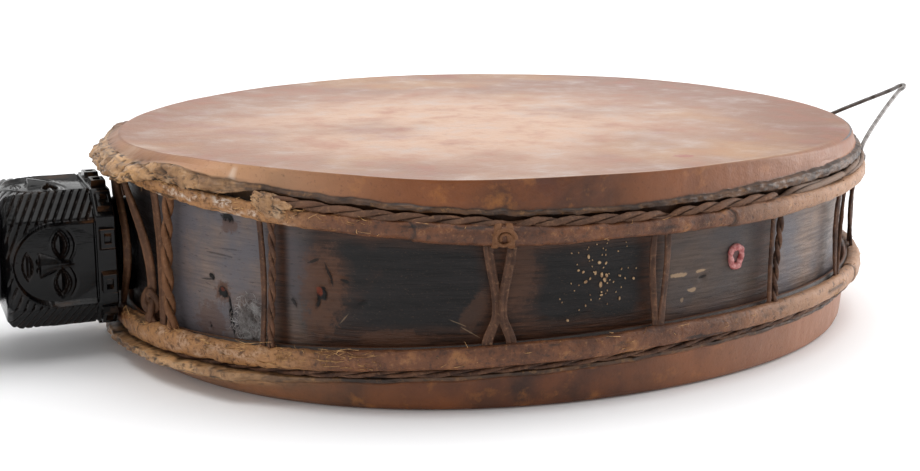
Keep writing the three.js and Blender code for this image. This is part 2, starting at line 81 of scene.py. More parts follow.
# where a length of cane is laid over the next: degrees round the drum, height of the step
UPPER_SPLICES = ((236.2, 0.8), (281, 0.6), (60, 0.7))
LOWER_SPLICES = ((191, 0.9), (318, 0.7), (110, 0.7))

# straps beside the handle: degrees off it at the top and at the bottom, bow in degrees, distance
# out at the ends and in the middle, width, thickness, twist
STRAPS = [
    (1.5, 4.6, 5.1, 2.8, 2.2, 3.6, 2.6, 1.1),
    (8.5, 16.4, 3.1, 3.1, 1.6, 4.0, 2.2, 0.7),
    (18.8, 19.6, -0.2, 3.1, 1.4, 4.6, 1.6, 0.15),
]

# the handle's radius at distances from the drum's axis: its head, then its grip and blade
HEAD_STATIONS = [
    (187, 22), (195.2, 22), (197, 28.6), (198, 30.6), (205.6, 30.6), (206.4, 30.2), (207, 30.5),
    (239, 30.5), (243, 29.4), (245, 27), (246.2, 22), (251, 20.6),
]
GRIP_STATIONS = [
    (247, 20), (250, 20.2), (251.5, 22), (253, 27.5), (254.5, 29.6), (256.5, 30.5), (259, 30.8),
    (261.5, 30), (263.5, 27.5), (265, 22.5), (266.5, 19.2), (269, 17.8), (272, 17.4), (282, 19.4),
    (292, 20.5), (302, 19.4), (312, 17.5), (315, 18), (317, 19.5), (318.5, 23), (321, 25.6),
    (324.5, 27.2), (328, 27.4), (331.5, 26.2), (334.5, 23.6), (336.5, 20), (338, 17.2), (341, 16),
    (344, 16), (346, 20), (349, 24.6), (353, 29.6), (356.5, 31.4), (360, 32.1), (365, 31.9),
    (380, 28.4), (400, 23.6), (420, 18.5), (440, 13.4), (456, 9.2), (464, 7), (468, 5),
    (HANDLE_END, 2.6),
]

# marks on the wood: degrees round the drum, height, half length, half height, tilt, strength
# the holes and nicks are dents in the hoop and are also painted near black, as the shade in them
WOOD_HOLES = [
    (223.6, 47.5, 2.0, 3.0, 10, 1.0), (223.0, 43.5, 0.9, 2.4, -15, 0.9), (224.6, 56.0, 0.6, 4.6, 18, 0.8),
    (222.6, 61.0, 3.2, 0.6, 24, 0.8), (226.6, 53.4, 1.9, 0.7, -12, 0.9), (228.8, 44.6, 2.5, 0.7, 8, 0.9),
    (219.9, 43.0, 0.7, 2.2, 24, 0.7), (207.4, 48.6, 1.6, 1.2, 0, 1.0), (209.2, 42.4, 2.4, 2.6, 30, 1.0),
    (210.4, 33.0, 0.9, 8.5, 6, 1.0), (210.6, 75.4, 3.6, 1.8, -8, 1.0), (208.2, 78.0, 2.2, 1.0, 0, 0.7),
    (206.6, 26.4, 0.8, 0.8, 0, 0.9), (206.4, 47.0, 4.2, 0.35, 4, 0.7), (209.0, 59.0, 6.5, 0.4, -3, 0.5),
    (211.0, 62.0, 5.0, 0.35, 2, 0.4), (235.5, 45.0, 4.0, 0.4, -6, 0.6), (238.8, 58.0, 5.0, 0.35, 3, 0.5),
    (271.2, 47.2, 1.6, 0.7, 0, 0.8), (278.0, 47.4, 2.0, 0.8, 6, 0.8), (252.5, 37.0, 3.5, 0.4, 5, 0.5),
]
WOOD_RUBS = [
    (223.8, 50.0, 9.0, 16.0, 0, 0.55), (223.2, 36.0, 7.0, 7.0, 0, 0.6), (209.4, 43.0, 4.4, 4.6, 0, 0.8),
    (207.0, 29.0, 9.0, 8.0, 0, 0.5), (249.2, 57.0, 6.0, 14.0, 0, 0.45), (233.0, 30.0, 14.0, 4.0, 0, 0.5),
    (243.0, 41.0, 4.0, 9.0, -30, 0.45), (211.0, 72.0, 5.0, 3.0, 0, 0.6),
]
WOOD_SCRATCHES = [
    (273.6, 49.8, 4.2, 0.95, 1, 0.85), (277.6, 50.4, 3.4, 0.6, 2, 0.8), (271.0, 49.4, 1.2, 0.5, 0, 0.5),
    (276.2, 42.6, 2.4, 0.9, 6, 0.75), (274.4, 38.6, 0.9, 1.0, 0, 0.5), (242.6, 33.0, 5.0, 0.25, -32, 0.4),
    (241.0, 37.0, 4.0, 0.2, -24, 0.35), (226.5, 38.0, 3.0, 0.25, 50, 0.3),
]
WOOD_REDS = [(223.2, 48.6, 0.9, 1.7, 10, 0.9), (209.0, 43.6, 0.9, 1.0, 0, 0.6)]


# ================================================================ camera
def make_camera():
    """A short telephoto a little above the drum, looking at its middle, level but for a hair."""
    data = bpy.data.cameras.new("camera")
    data.lens, data.sensor_width = LENS, 36.0
    data.clip_start, data.clip_end = 0.01, 50.0
    camera = bpy.data.objects.new("camera", data)
    bpy.context.scene.collection.objects.link(camera)
    place = Vector(CAMERA_PLACE) * MM
    aim = Vector(CAMERA_AIM) * MM
    turn = (aim - place).to_track_quat("-Z", "Y").to_matrix().to_4x4()
    roll = math.radians(CAMERA_ROLL)
    camera.matrix_world = turn @ Matrix.Rotation(roll, 4, "Z")
    camera.location = place
    bpy.context.scene.camera = camera


# ================================================================ noise
def lattice(cell, seed):
    """A repeatable number from 0 to 1 for each whole-number cell: mixed and shifted products."""
    n = cell[..., 0] * 374761393 + cell[..., 1] * 668265263 + cell[..., 2] * 2147483647 + seed * 1274126177
    n = (n ^ (n >> 13)) * 1274126177 & 0x7FFFFFFF
    return ((n ^ (n >> 16)) & 0xFFFFFF) / float(0xFFFFFF)


def noise(points, size, seed=0, octaves=3):
    """Smooth noise from -1 to 1 over points (..., 3), with features of a size in millimetres.
    Each octave blends the eight corners of its cell with s * s * (3 - 2 * s), at half the
    size and half the height of the one before."""
    total, height, span = 0.0, 1.0, 0.0
    points = np.asarray(points, float) / size
    for octave in range(octaves):
        cell = np.floor(points).astype(np.int64)
        s = points - cell
        s = s * s * (3 - 2 * s)
        value = 0.0
        for corner in np.ndindex(2, 2, 2):
            weight = np.prod(np.where(corner, s, 1 - s), axis=-1)
            value = value + weight * lattice(cell + np.array(corner), seed + 31 * octave)
        total = total + height * (2 * value - 1)
        span, height, points = span + height, height / 2, points * 2.03 + 7.1
    return total / span


def smooth(value, low, high):
    """0 below low, 1 above high, and an S-curve between."""
    s = np.clip((value - low) / (high - low), 0, 1)
    return s * s * (3 - 2 * s)


def hump(value, middle, width):
    """A bell: exp(-((value - middle) / width) ** 2)."""
    return np.exp(-(((value - middle) / width) ** 2))


def lerp(low, high, share):
    """Straight from low to high."""
    return low + (high - low) * share


def angles(count):
    """So many angles, evenly spaced once round from 0."""
    return np.arange(count) / count * TURN


def turned_from(a, middle):
    """Angle from a direction round to another, from -pi to pi."""
    return (a - middle + 3 * np.pi) % TURN - np.pi


def away_from(a, middle):
    """Angle between two directions around the drum, from 0 to pi."""
    return np.abs(turned_from(a, middle))


def near(a, middle, reach, ramp):
    """1 around a direction, falling to 0 over a ramp that ends at its reach, in degrees."""
    return smooth(math.radians(reach) - away_from(a, math.radians(middle)), 0, math.radians(ramp))


# ================================================================ the drum's outline
def rim(a):
    """Radius of the skins' edge at an angle: a circle with an oval and an egg term."""
    return RADIUS * (1 + OVAL * np.cos(2 * (a - OVAL_AT)) + EGG * np.cos(3 * (a - EGG_AT)))


def upper_cane(a):
    """Mid-height of the upper cane hoop: slow waves, and a climb towards the handle."""
    return 74.2 + 1.1 * np.cos(2 * (a - math.radians(335))) + 12 * near(a, 187.5, 72, 72)


def lower_cane(a):
    """Mid-height of the lower cane hoop."""
    t = a + LOWER_WAVE_AT
    return 23.04 + 6.55 * np.cos(t) - 1.75 * np.cos(2 * t)


def gathered(a):
    """1 where the upper hem is bunched out over the cane."""
    return near(a, 187.5, 30, 9)


def draped(a):
    """1 where the bunched hem hangs down in front of the cane."""
    return near(a, 182, 21, 11)


def east(a):
    """1 on the side of the drum where its skirts are pinker."""
    return near(a, 330, 75, 60)


def west(a):
    """1 near the handle, where the skirts are lighter tan."""
    return near(a, 197, 40, 32)


def hoop_outside(a, z):
    """Radius of the wooden hoop's outside: it narrows slightly towards the foot."""
    return rim(a) * (FOOT_SCALE + (1 - FOOT_SCALE) * z / DEPTH) - SKIN - 0.3


def polar(a, r, z):
    """Points at an angle, a radius and a height."""
    a, r, z = np.broadcast_arrays(a, r, z)
    return np.stack([r * np.cos(a), r * np.sin(a), z], -1)


def on_wood(degrees, beside, z, off=0.0):
    """A point on the hoop's outside, some millimetres beside an angle, at a height."""
    a = math.radians(degrees) + beside / RADIUS
    return polar(a, hoop_outside(a, z) + off, z)


# ================================================================ meshes
def mesh_object(name, vertices, quads, triangles=(), values=None):
    """A mesh object from vertices in millimetres, quads and triangles, with named values per
    vertex. Faces are turned outwards if the closed surface holds a negative volume."""
    vertices = np.asarray(vertices, float) * MM
    quads = np.asarray(quads, np.int64).reshape(-1, 4)
    triangles = np.asarray(triangles, np.int64).reshape(-1, 3)
    halves = np.concatenate([quads[:, [0, 1, 2]], quads[:, [0, 2, 3]], triangles])
    a, b, c = (vertices[halves[:, k]] for k in range(3))
    if np.einsum("ij,ij->", a, np.cross(b, c)) < 0:
        quads, triangles = quads[:, ::-1], triangles[:, ::-1]
    mesh = bpy.data.meshes.new(name)
    mesh.vertices.add(len(vertices))
    mesh.vertices.foreach_set("co", vertices.ravel())
    loops = np.concatenate([quads.ravel(), triangles.ravel()])
    mesh.loops.add(len(loops))
    mesh.loops.foreach_set("vertex_index", loops)
    sizes = np.concatenate([np.full(len(quads), 4), np.full(len(triangles), 3)])
    mesh.polygons.add(len(sizes))
    mesh.polygons.foreach_set("loop_start", np.concatenate([[0], np.cumsum(sizes)[:-1]]))
    mesh.polygons.foreach_set("loop_total", sizes)
    mesh.update(calc_edges=True)
    mesh.shade_smooth()
    for key, value in (values or {}).items():
        layer = mesh.attributes.new(key, "FLOAT", "POINT")
        layer.data.foreach_set("value", np.asarray(value, np.float32).ravel())
    thing = bpy.data.objects.new(name, mesh)
    bpy.context.scene.collection.objects.link(thing)
    return thing


def wrapped_quads(rows, columns, close_rows, close_columns):
    """Quads of a grid of vertices, joined round on the sides that close."""
    i = np.arange(rows if close_rows else rows - 1)[:, None]
    j = np.arange(columns if close_columns else columns - 1)[None, :]
    up, on = (i + 1) % rows, (j + 1) % columns
    corners = [i * columns + j, i * columns + on, up * columns + on, up * columns + j]
    return np.stack(np.broadcast_arrays(*corners), -1).reshape(-1, 4)


def tube_parts(points, start=0, ends=None):
    """Vertices, quads and cap triangles of a tube: points is (steps, around, 3), open ended, and
    each end is closed by a fan to one point, the middle of its own ring unless ends gives both."""
    steps, count = points.shape[:2]
    ends = ends or (points[:1].mean(1), points[-1:].mean(1))
    vertices = np.concatenate([points.reshape(-1, 3), *ends])
    quads = wrapped_quads(steps, count, False, True)
    j = np.arange(count)
    on = (j + 1) % count
    last_row = (steps - 1) * count
    first = np.stack([np.full(count, steps * count), on, j], -1)
    last = np.stack([np.full(count, steps * count + 1), last_row + j, last_row + on], -1)
    return vertices, quads + start, np.concatenate([first, last]) + start


def joined_tubes(name, tubes, values=None):
    """One mesh of several closed tubes. values maps a name to one array per tube, (steps, around)."""
    parts, start = [], 0
    layers = {key: [] for key in (values or {})}
    for k, points in enumerate(tubes):
        parts.append(tube_parts(points, start))
        start += len(parts[-1][0])
        for key in layers:
            layer = np.broadcast_to(values[key][k], points.shape[:2])
            layers[key].append(np.concatenate([layer.ravel(), [layer[0].mean(), layer[-1].mean()]]))
    layers = {key: np.concatenate(layer) for key, layer in layers.items()}
    return mesh_object(name, *(np.concatenate(part) for part in zip(*parts)), layers)


def sweep(path, outward, profile):
    """Carry a profile (around, 2) or (steps, around, 2) along a path: its first number goes
    sideways, its second along outward made square to the path."""
    path = np.asarray(path, float)
    along = np.gradient(path, axis=0)
    along /= np.linalg.norm(along, axis=1, keepdims=True)
    outward = np.broadcast_to(outward, path.shape)
    out = outward - along * np.sum(outward * along, 1, keepdims=True)
    out /= np.linalg.norm(out, axis=1, keepdims=True)
    side = np.cross(along, out)
    profile = np.broadcast_to(profile, (len(path),) + np.shape(profile)[-2:])
    return path[:, None] + side[:, None] * profile[..., :1] + out[:, None] * profile[..., 1:]


def blunt(wave, power):
    """A wave made squarer: its size raised to a power below one, its sign kept."""
    return np.sign(wave) * np.abs(wave) ** power


def oval_profile(width, thickness, count):
    """A rounded strap section: a blunt cosine across and a blunt sine through it."""
    t = angles(count)
    return np.stack([width / 2 * blunt(np.cos(t), 0.75), thickness / 2 * blunt(np.sin(t), 0.75)], -1)


def round_profile(count):
    """A circle of radius 1 in so many points: a cosine and a sine."""
    t = angles(count)
    return np.stack([np.cos(t), np.sin(t)], -1)


def rotated(pairs, angle):
    """Pairs (x, y) turned by an angle: (c x - s y, s x + c y) with its cosine and sine."""
    x, y = pairs[..., 0], pairs[..., 1]
    c, s = np.cos(angle), np.sin(angle)
    return np.stack([c * x - s * y, s * x + c * y], -1)


def dress(thing, node, material):
    """Give a finished piece its material and its body, and hide the CAD node it stands for."""
    thing.data.materials.append(material)
    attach(thing, "root")
    if node:
        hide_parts(node)
    return thing


# ================================================================ materials
def rgb(red, green, blue):
    """A colour from display values of 0 to 255, made linear."""
    values = []
    for value in (red, green, blue):
        value /= 255
        values.append(value / 12.92 if value <= 0.04045 else ((value + 0.055) / 1.055) ** 2.4)
    return (*values, 1.0)


class Finish:
    """One procedural material: a Principled shader and the nodes that feed it."""

    def __init__(self, name, roughness=0.5, specular=0.5):
        self.material = bpy.data.materials.new(name)
        self.material.use_nodes = True
        self.tree = self.material.node_tree
        self.tree.nodes.clear()
        self.shader = self.tree.nodes.new("ShaderNodeBsdfPrincipled")
        self.shader.inputs["Roughness"].default_value = roughness
        self.shader.inputs["Specular IOR Level"].default_value = specular
        output = self.tree.nodes.new("ShaderNodeOutputMaterial")
        self.tree.links.new(self.shader.outputs[0], output.inputs["Surface"])
        self.place = self.tree.nodes.new("ShaderNodeTexCoord").outputs["Object"]
        self.wander = None

    def feed(self, socket, value):
        """Link an output to an input, or set the input's own value."""
        if isinstance(value, bpy.types.NodeSocket):
            self.tree.links.new(value, socket)
        else:
            socket.default_value = value

    def stretched(self, x, y, z):
        """The object's place scaled along each axis."""
        node = self.tree.nodes.new("ShaderNodeMapping")
        self.feed(node.inputs["Vector"], self.place)
        node.inputs["Scale"].default_value = (x, y, z)
        return node.outputs[0]

    def noise(self, scale, detail=4.0, roughness=0.55, at=None):
        """Noise from 0 to 1, scale in features per metre."""
        node = self.tree.nodes.new("ShaderNodeTexNoise")
        self.feed(node.inputs["Vector"], at or self.place)
        node.inputs["Scale"].default_value = scale
        node.inputs["Detail"].default_value = detail
        node.inputs["Roughness"].default_value = roughness
        return node.outputs[0]

    def cells(self, scale):
        """Distance within Voronoi cells, scale in cells per metre."""
        node = self.tree.nodes.new("ShaderNodeTexVoronoi")
        self.feed(node.inputs["Vector"], self.place)
        node.inputs["Scale"].default_value = scale
        return node.outputs["Distance"]

    def value(self, name):
        """A named value carried by the mesh."""
        node = self.tree.nodes.new("ShaderNodeAttribute")
        node.attribute_name = name
        return node.outputs["Fac"]

    def band(self, value, low, high, bottom=0.0, top=1.0):
        """Stretch a value so that low to high becomes bottom to top, clamped."""
        node = self.tree.nodes.new("ShaderNodeMapRange")
        names = ("Value", "From Min", "From Max", "To Min", "To Max")
        for key, number in zip(names, (value, low, high, bottom, top)):
            self.feed(node.inputs[key], number)
        return node.outputs[0]

    def math(self, operation, a, b=0.0):
        """One arithmetic step."""
        node = self.tree.nodes.new("ShaderNodeMath")
        node.operation = operation
        self.feed(node.inputs[0], a)
        self.feed(node.inputs[1], b)
        return node.outputs[0]

    def mix(self, share, a, b):
        """Two colours mixed by a share from 0 to 1."""
        node = self.tree.nodes.new("ShaderNodeMix")
        node.data_type = "RGBA"
        self.feed(node.inputs[0], share)
        self.feed(node.inputs[6], a)
        self.feed(node.inputs[7], b)
        return node.outputs[2]

    def mottled(self, value, low, high, a, b):
        """Colour a where a value is under low, colour b where it is over high, and between."""
        return self.mix(self.band(value, low, high), a, b)

    def stained(self, base, colour, value, low, high, strength):
        """A colour laid over a base, from none where a value is low to a strength where high."""
        return self.mix(self.band(value, low, high, 0, strength), base, colour)

    def ball(self, centre, radius, ragged, scale):
        """1 inside a ball around a point in metres, 0 outside, with an uneven edge."""
        node = self.tree.nodes.new("ShaderNodeVectorMath")
        node.operation = "DISTANCE"
        self.feed(node.inputs[0], self.place)
        node.inputs[1].default_value = centre
        wander = self.band(self.noise(scale, 5.0), 0.2, 0.8, -ragged, ragged)
        distance = self.math("ADD", node.outputs["Value"], wander)
        return self.band(distance, radius * 0.75, radius * 1.15, 1.0, 0.0)

    def spot(self, degrees, z, along, tall, tilt=0.0):
        """1 on an uneven ellipse of the hoop's outside round an angle and a height, given half
        its length and half its height in millimetres: the place is measured from its middle,
        turned and divided by those halves, and the length of that fades from 1 to 0."""
        a = math.radians(degrees)
        node = self.tree.nodes.new("ShaderNodeMapping")
        node.vector_type = "TEXTURE"
        self.feed(node.inputs["Vector"], self.place)
        node.inputs["Location"].default_value = polar(a, rim(a), z) * MM
        node.inputs["Rotation"].default_value = (math.radians(tilt), 0, a)
        node.inputs["Scale"].default_value = (0.04, along * MM, tall * MM)
        far = self.tree.nodes.new("ShaderNodeVectorMath")
        far.operation = "LENGTH"
        self.feed(far.inputs[0], node.outputs[0])
        if self.wander is None:
            self.wander = self.band(self.noise(330, 5, 0.65), 0.25, 0.75, -0.55, 0.55)
        return self.band(self.math("ADD", far.outputs["Value"], self.wander), 0.8, 1.15, 1.0, 0.0)

    def colour(self, value):
        """Set the base colour."""
        self.feed(self.shader.inputs["Base Color"], value)

    def rough(self, value):
        """Set the roughness."""
        self.feed(self.shader.inputs["Roughness"], value)

    def bump(self, height, distance, strength=1.0):
        """Relief on the shading, stacked on what is there: distance in metres."""
        node = self.tree.nodes.new("ShaderNodeBump")
        node.inputs["Strength"].default_value = strength
        node.inputs["Distance"].default_value = distance
        self.feed(node.inputs["Height"], height)
        socket = self.shader.inputs["Normal"]
        if socket.is_linked:
            self.tree.links.new(socket.links[0].from_socket, node.inputs["Normal"])
        self.tree.links.new(node.outputs[0], socket)


def goatskin(name):
    """Old goatskin. The mesh says how far a point is over the edge (skirt), how much it is
    hem (hem), how bunched (bunch), how deep in a fold, where it is painted dark as shade,
    how far from the spot where a highlight is painted on the head (centre), where it is
    painted pale (pale), and which way it faces."""
    f = Finish(name, roughness=0.5, specular=0.4)
    broad, mottle, fine = f.noise(13, 3), f.noise(48, 6, 0.62), f.noise(420, 4)
    skirt, hem = f.value("skirt"), f.value("hem")
    bunch, crease, centre = f.value("bunch"), f.value("crease"), f.value("centre")
    # painted highlight: pale round a spot a little left of and in front of the head's middle, where the light
    # falls, and browner towards the edge, which is partly the skin's own tone
    head = f.mottled(centre, 0.1, 0.95, rgb(182, 142, 114), rgb(124, 78, 52))
    head = f.stained(head, rgb(122, 80, 55), broad, 0.45, 0.66, 0.6)
    head = f.stained(head, rgb(160, 108, 92), mottle, 0.52, 0.7, 0.55)
    head = f.mix(f.band(mottle, 0.3, 0.46, 0.4, 0), head, rgb(142, 118, 104))
    head = f.stained(head, rgb(176, 132, 84), f.noise(9, 4), 0.54, 0.68, 0.5)
    head = f.stained(head, rgb(142, 82, 72), f.noise(26, 5, 0.6), 0.58, 0.72, 0.5)
    head = f.stained(head, rgb(112, 74, 54), f.noise(300, 5, 0.7), 0.56, 0.74, 0.35)
    side = f.mottled(mottle, 0.36, 0.62, rgb(98, 52, 22), rgb(54, 28, 14))
    side = f.stained(side, rgb(130, 72, 29), broad, 0.44, 0.62, 0.7)
    side = f.stained(side, rgb(160, 100, 42), f.noise(90, 5, 0.65), 0.57, 0.72, 0.55)
    side = f.stained(side, rgb(74, 34, 22), f.noise(34, 5, 0.6), 0.55, 0.7, 0.55)
    side = f.mix(f.math("MULTIPLY", f.value("east"), 0.8), side, rgb(166, 118, 92))
    side = f.mix(f.math("MULTIPLY", f.value("west"), 0.85), side, rgb(200, 152, 112))
    side = f.stained(side, rgb(60, 32, 18), f.noise(700, 4, 0.7), 0.58, 0.72, 0.5)
    cloth = f.mix(skirt, head, side)
    # pale: a painted highlight along the lip at the front edge, and a thin pale line down the skirt
    cloth = f.mix(f.value("pale"), cloth, rgb(214, 190, 170))
    dry = f.mottled(mottle, 0.4, 0.62, rgb(96, 66, 43), rgb(50, 33, 22))
    dry = f.stained(dry, rgb(146, 106, 62), f.noise(260, 5, 0.7), 0.55, 0.7, 0.7)
    tan = f.mottled(mottle, 0.38, 0.62, rgb(196, 152, 106), rgb(128, 94, 64))
    tan = f.stained(tan, rgb(74, 50, 34), f.noise(330, 5, 0.7), 0.52, 0.68, 0.8)
    tan = f.stained(tan, rgb(190, 164, 134), f.noise(170, 5, 0.6), 0.56, 0.7, 0.6)
    cloth = f.mix(hem, cloth, f.mix(bunch, dry, tan))
    # painted shade: near black in the folds, under the hem and on the hidden inside, as the mesh marks them
    cloth = f.stained(cloth, rgb(28, 17, 10), crease, 0, 1, 0.92)
    red = f.ball((0.0265, -0.1395, 0.0955), 0.0042, 0.002, 500)
    cloth = f.mix(f.math("MULTIPLY", red, 0.55), cloth, rgb(140, 40, 34))
    f.colour(cloth)
    f.rough(f.band(mottle, 0.3, 0.7, 0.36, 0.55))
    f.bump(fine, 0.0004, 0.5)
    f.bump(mottle, 0.0014, 0.4)
    f.bump(f.cells(900), 0.0002, 0.3)
    return f.material


def smoked_wood():
    """Smoke-blackened bent wood with fine horizontal grain, brown where hands and laces rub, and
    a painted grey sheen on its flanks, with insect holes, nicks, red flecks and pale scratches
    laid on in the order of kinds; the holes and nicks are painted near black as the shade in them."""
    f = Finish("smoked_wood", roughness=0.42, specular=0.22)
    grain = f.noise(60, 6, 0.6, at=f.stretched(1, 1, 14))
    streak = f.noise(22, 5, 0.6, at=f.stretched(1, 1, 9))
    patch, fine = f.noise(26, 5, 0.6), f.noise(240, 5, 0.7, at=f.stretched(1, 1, 5))
    black = f.mottled(streak, 0.35, 0.7, rgb(12, 10, 10), rgb(30, 26, 26))
    brown = f.mottled(grain, 0.35, 0.65, rgb(80, 50, 34), rgb(44, 28, 20))
    worn = f.math("ADD", f.value("worn"), f.band(patch, 0.52, 0.78, 0, 0.5))
    wood = f.mix(f.band(worn, 0.15, 0.95), black, brown)
    # painted sheen: grey and blue-grey where the flanks of the hoop catch the light
    grey = f.mottled(grain, 0.3, 0.7, rgb(140, 118, 104), rgb(96, 80, 71))
    wood = f.mix(f.value("grey"), wood, f.mix(f.band(patch, 0.4, 0.6), grey, rgb(96, 92, 96)))
    wood = f.mix(f.band(fine, 0.3, 0.42, 0.6, 0), wood, rgb(9, 7, 6))
    wood = f.stained(wood, rgb(120, 92, 70), f.noise(900, 4, 0.7, at=f.stretched(1, 1, 3)), 0.6, 0.72, 0.35)
    # rubs, scratches and red flecks are the wood's own marks; the holes' near black is painted shade
    kinds = ((WOOD_RUBS, rgb(82, 54, 38)), (WOOD_HOLES, rgb(7, 5, 4)),
             (WOOD_SCRATCHES, rgb(160, 134, 106)), (WOOD_REDS, rgb(104, 44, 24)))
    for marks, colour in kinds:
        for *place, strength in marks:
            wood = f.mix(f.math("MULTIPLY", f.spot(*place), strength), wood, colour)
    f.colour(wood)
    f.rough(f.band(grain, 0.3, 0.7, 0.3, 0.48))
    f.bump(grain, 0.0007, 0.6)
    f.bump(fine, 0.0003, 0.5)
    return f.material


def worn_cane(name, gold):
    """Cane with a worn brown skin, fibrous, gold where it is rubbed and pale where it flakes."""
    f = Finish(name, roughness=0.55, specular=0.4)
    patch, fine, fuzz = f.noise(70, 6, 0.66), f.noise(420, 5, 0.7), f.noise(1300, 3)
    cane = f.mottled(patch, 0.36, 0.62, rgb(68, 38, 22), rgb(110, 66, 38))
    cane = f.stained(cane, rgb(164, 114, 66), patch, 0.58, 0.72, gold)
    cane = f.mix(f.math("MULTIPLY", f.value("gold"), f.band(fine, 0.36, 0.6, 0.5)), cane, rgb(164, 118, 74))
    cane = f.mix(f.math("MULTIPLY", f.value("light"), 0.7), cane, rgb(188, 144, 110))
    cane = f.mix(f.band(fine, 0.34, 0.46, 0.65, 0), cane, rgb(36, 21, 14))
    cane = f.stained(cane, rgb(158, 112, 72), fine, 0.56, 0.7, 0.5)
    cane = f.mix(f.math("MULTIPLY", f.value("flake"), f.band(fine, 0.42, 0.56)), cane, rgb(200, 188, 176))
    # painted shade: near black in the cane's splits and at the step of each splice
    cane = f.mix(f.value("crease"), cane, rgb(22, 13, 9))
    f.colour(cane)
    f.rough(f.band(patch, 0.3, 0.7, 0.6, 0.38))
    f.bump(fine, 0.0008, 0.75)
    f.bump(fuzz, 0.0003, 0.5)
    return f.material


def dry_rawhide(name, light=0.0):
    """Dry brown rawhide, painted dark as shade in its lengthwise grooves and between its strands; light lifts
    it towards golden tan.
    """
    f = Finish(name, roughness=0.6, specular=0.22)
    patch, fine = f.noise(110, 6, 0.65), f.noise(650, 4, 0.6)
    hide = f.mottled(patch, 0.36, 0.64, rgb(54, 35, 26), rgb(98, 67, 49))
    hide = f.mix(light, hide, rgb(146, 96, 54))
    hide = f.mix(f.math("MULTIPLY", f.value("grey"), 0.7), hide, rgb(134, 114, 100))
    hide = f.stained(hide, rgb(150, 112, 82), fine, 0.54, 0.72, 0.45)
    # painted shade: near black in grooves, between twisted strands, and a little over the knot
    hide = f.stained(hide, rgb(15, 9, 7), f.value("crease"), 0, 1, 0.92)
    f.colour(hide)
    f.bump(fine, 0.0005, 0.6)
    f.bump(patch, 0.0009, 0.4)
    return f.material


def black_hardwood():
    """Hardwood stained black and polished by the hand, dusty brown in its cuts."""
    f = Finish("black_hardwood", roughness=0.15, specular=0.2)
    patch, grain = f.noise(60, 5), f.noise(70, 4, at=f.stretched(1, 9, 9))
    wood = f.mottled(patch, 0.35, 0.7, rgb(4, 4, 5), rgb(11, 10, 11))
    wood = f.stained(wood, rgb(26, 18, 14), f.value("cut"), 0.2, 1, 0.8)
    wood = f.mix(f.math("MULTIPLY", f.value("edge"), f.band(patch, 0.45, 0.65)), wood, rgb(92, 62, 40))
    f.colour(wood)
    f.rough(f.band(f.noise(150, 5), 0.3, 0.75, 0.1, 0.24))
    f.bump(grain, 0.0003, 0.35)
    f.bump(f.noise(900, 2), 0.00008, 0.3)
    return f.material


def dull_wire():
    """Dull steel wire."""
    f = Finish("steel_wire", roughness=0.4)
    f.shader.inputs["Metallic"].default_value = 0.8
    f.colour(f.mottled(f.noise(260, 4), 0.4, 0.65, rgb(128, 124, 122), rgb(88, 82, 78)))
    f.rough(f.band(f.noise(500, 3), 0.3, 0.7, 0.32, 0.5))
    f.bump(f.noise(1500, 2), 0.00005, 0.4)
    return f.material


# ================================================================ skins
def cap_mesh(name, rings, values):
    """A closed cap from rings (profile, around, 3): its first and last rings shrink to the
    axis, and become one vertex each."""
    ends = rings[:1].mean(1), rings[-1:].mean(1)
    layers = {}
    for key, value in values.items():
        value = np.broadcast_to(value, rings.shape[:2])
        layers[key] = np.concatenate([value[1:-1].ravel(), [value[0].mean(), value[-1].mean()]])
    return mesh_object(name, *tube_parts(rings[1:-1], ends=ends), layers)


def through(stops, share):
    """Radius and height along a profile of stops [(share, radius, height)], each radius and
    height an array over the angle, joined by straight lines: shares (rows,) give (rows, angles)."""
    keys = np.array([stop[0] for stop in stops])
    shape = stops[-1][1].shape
    radii, heights = (np.stack([np.broadcast_to(stop[k], shape) for stop in stops]) for k in (1, 2))
    place = np.clip(np.searchsorted(keys, share, side="right") - 1, 0, len(keys) - 2)
    part = ((share - keys[place]) / (keys[place + 1] - keys[place]))[:, None]
    mix = lambda v: v[place] * (1 - part) + v[place + 1] * part
    return mix(radii), mix(heights)


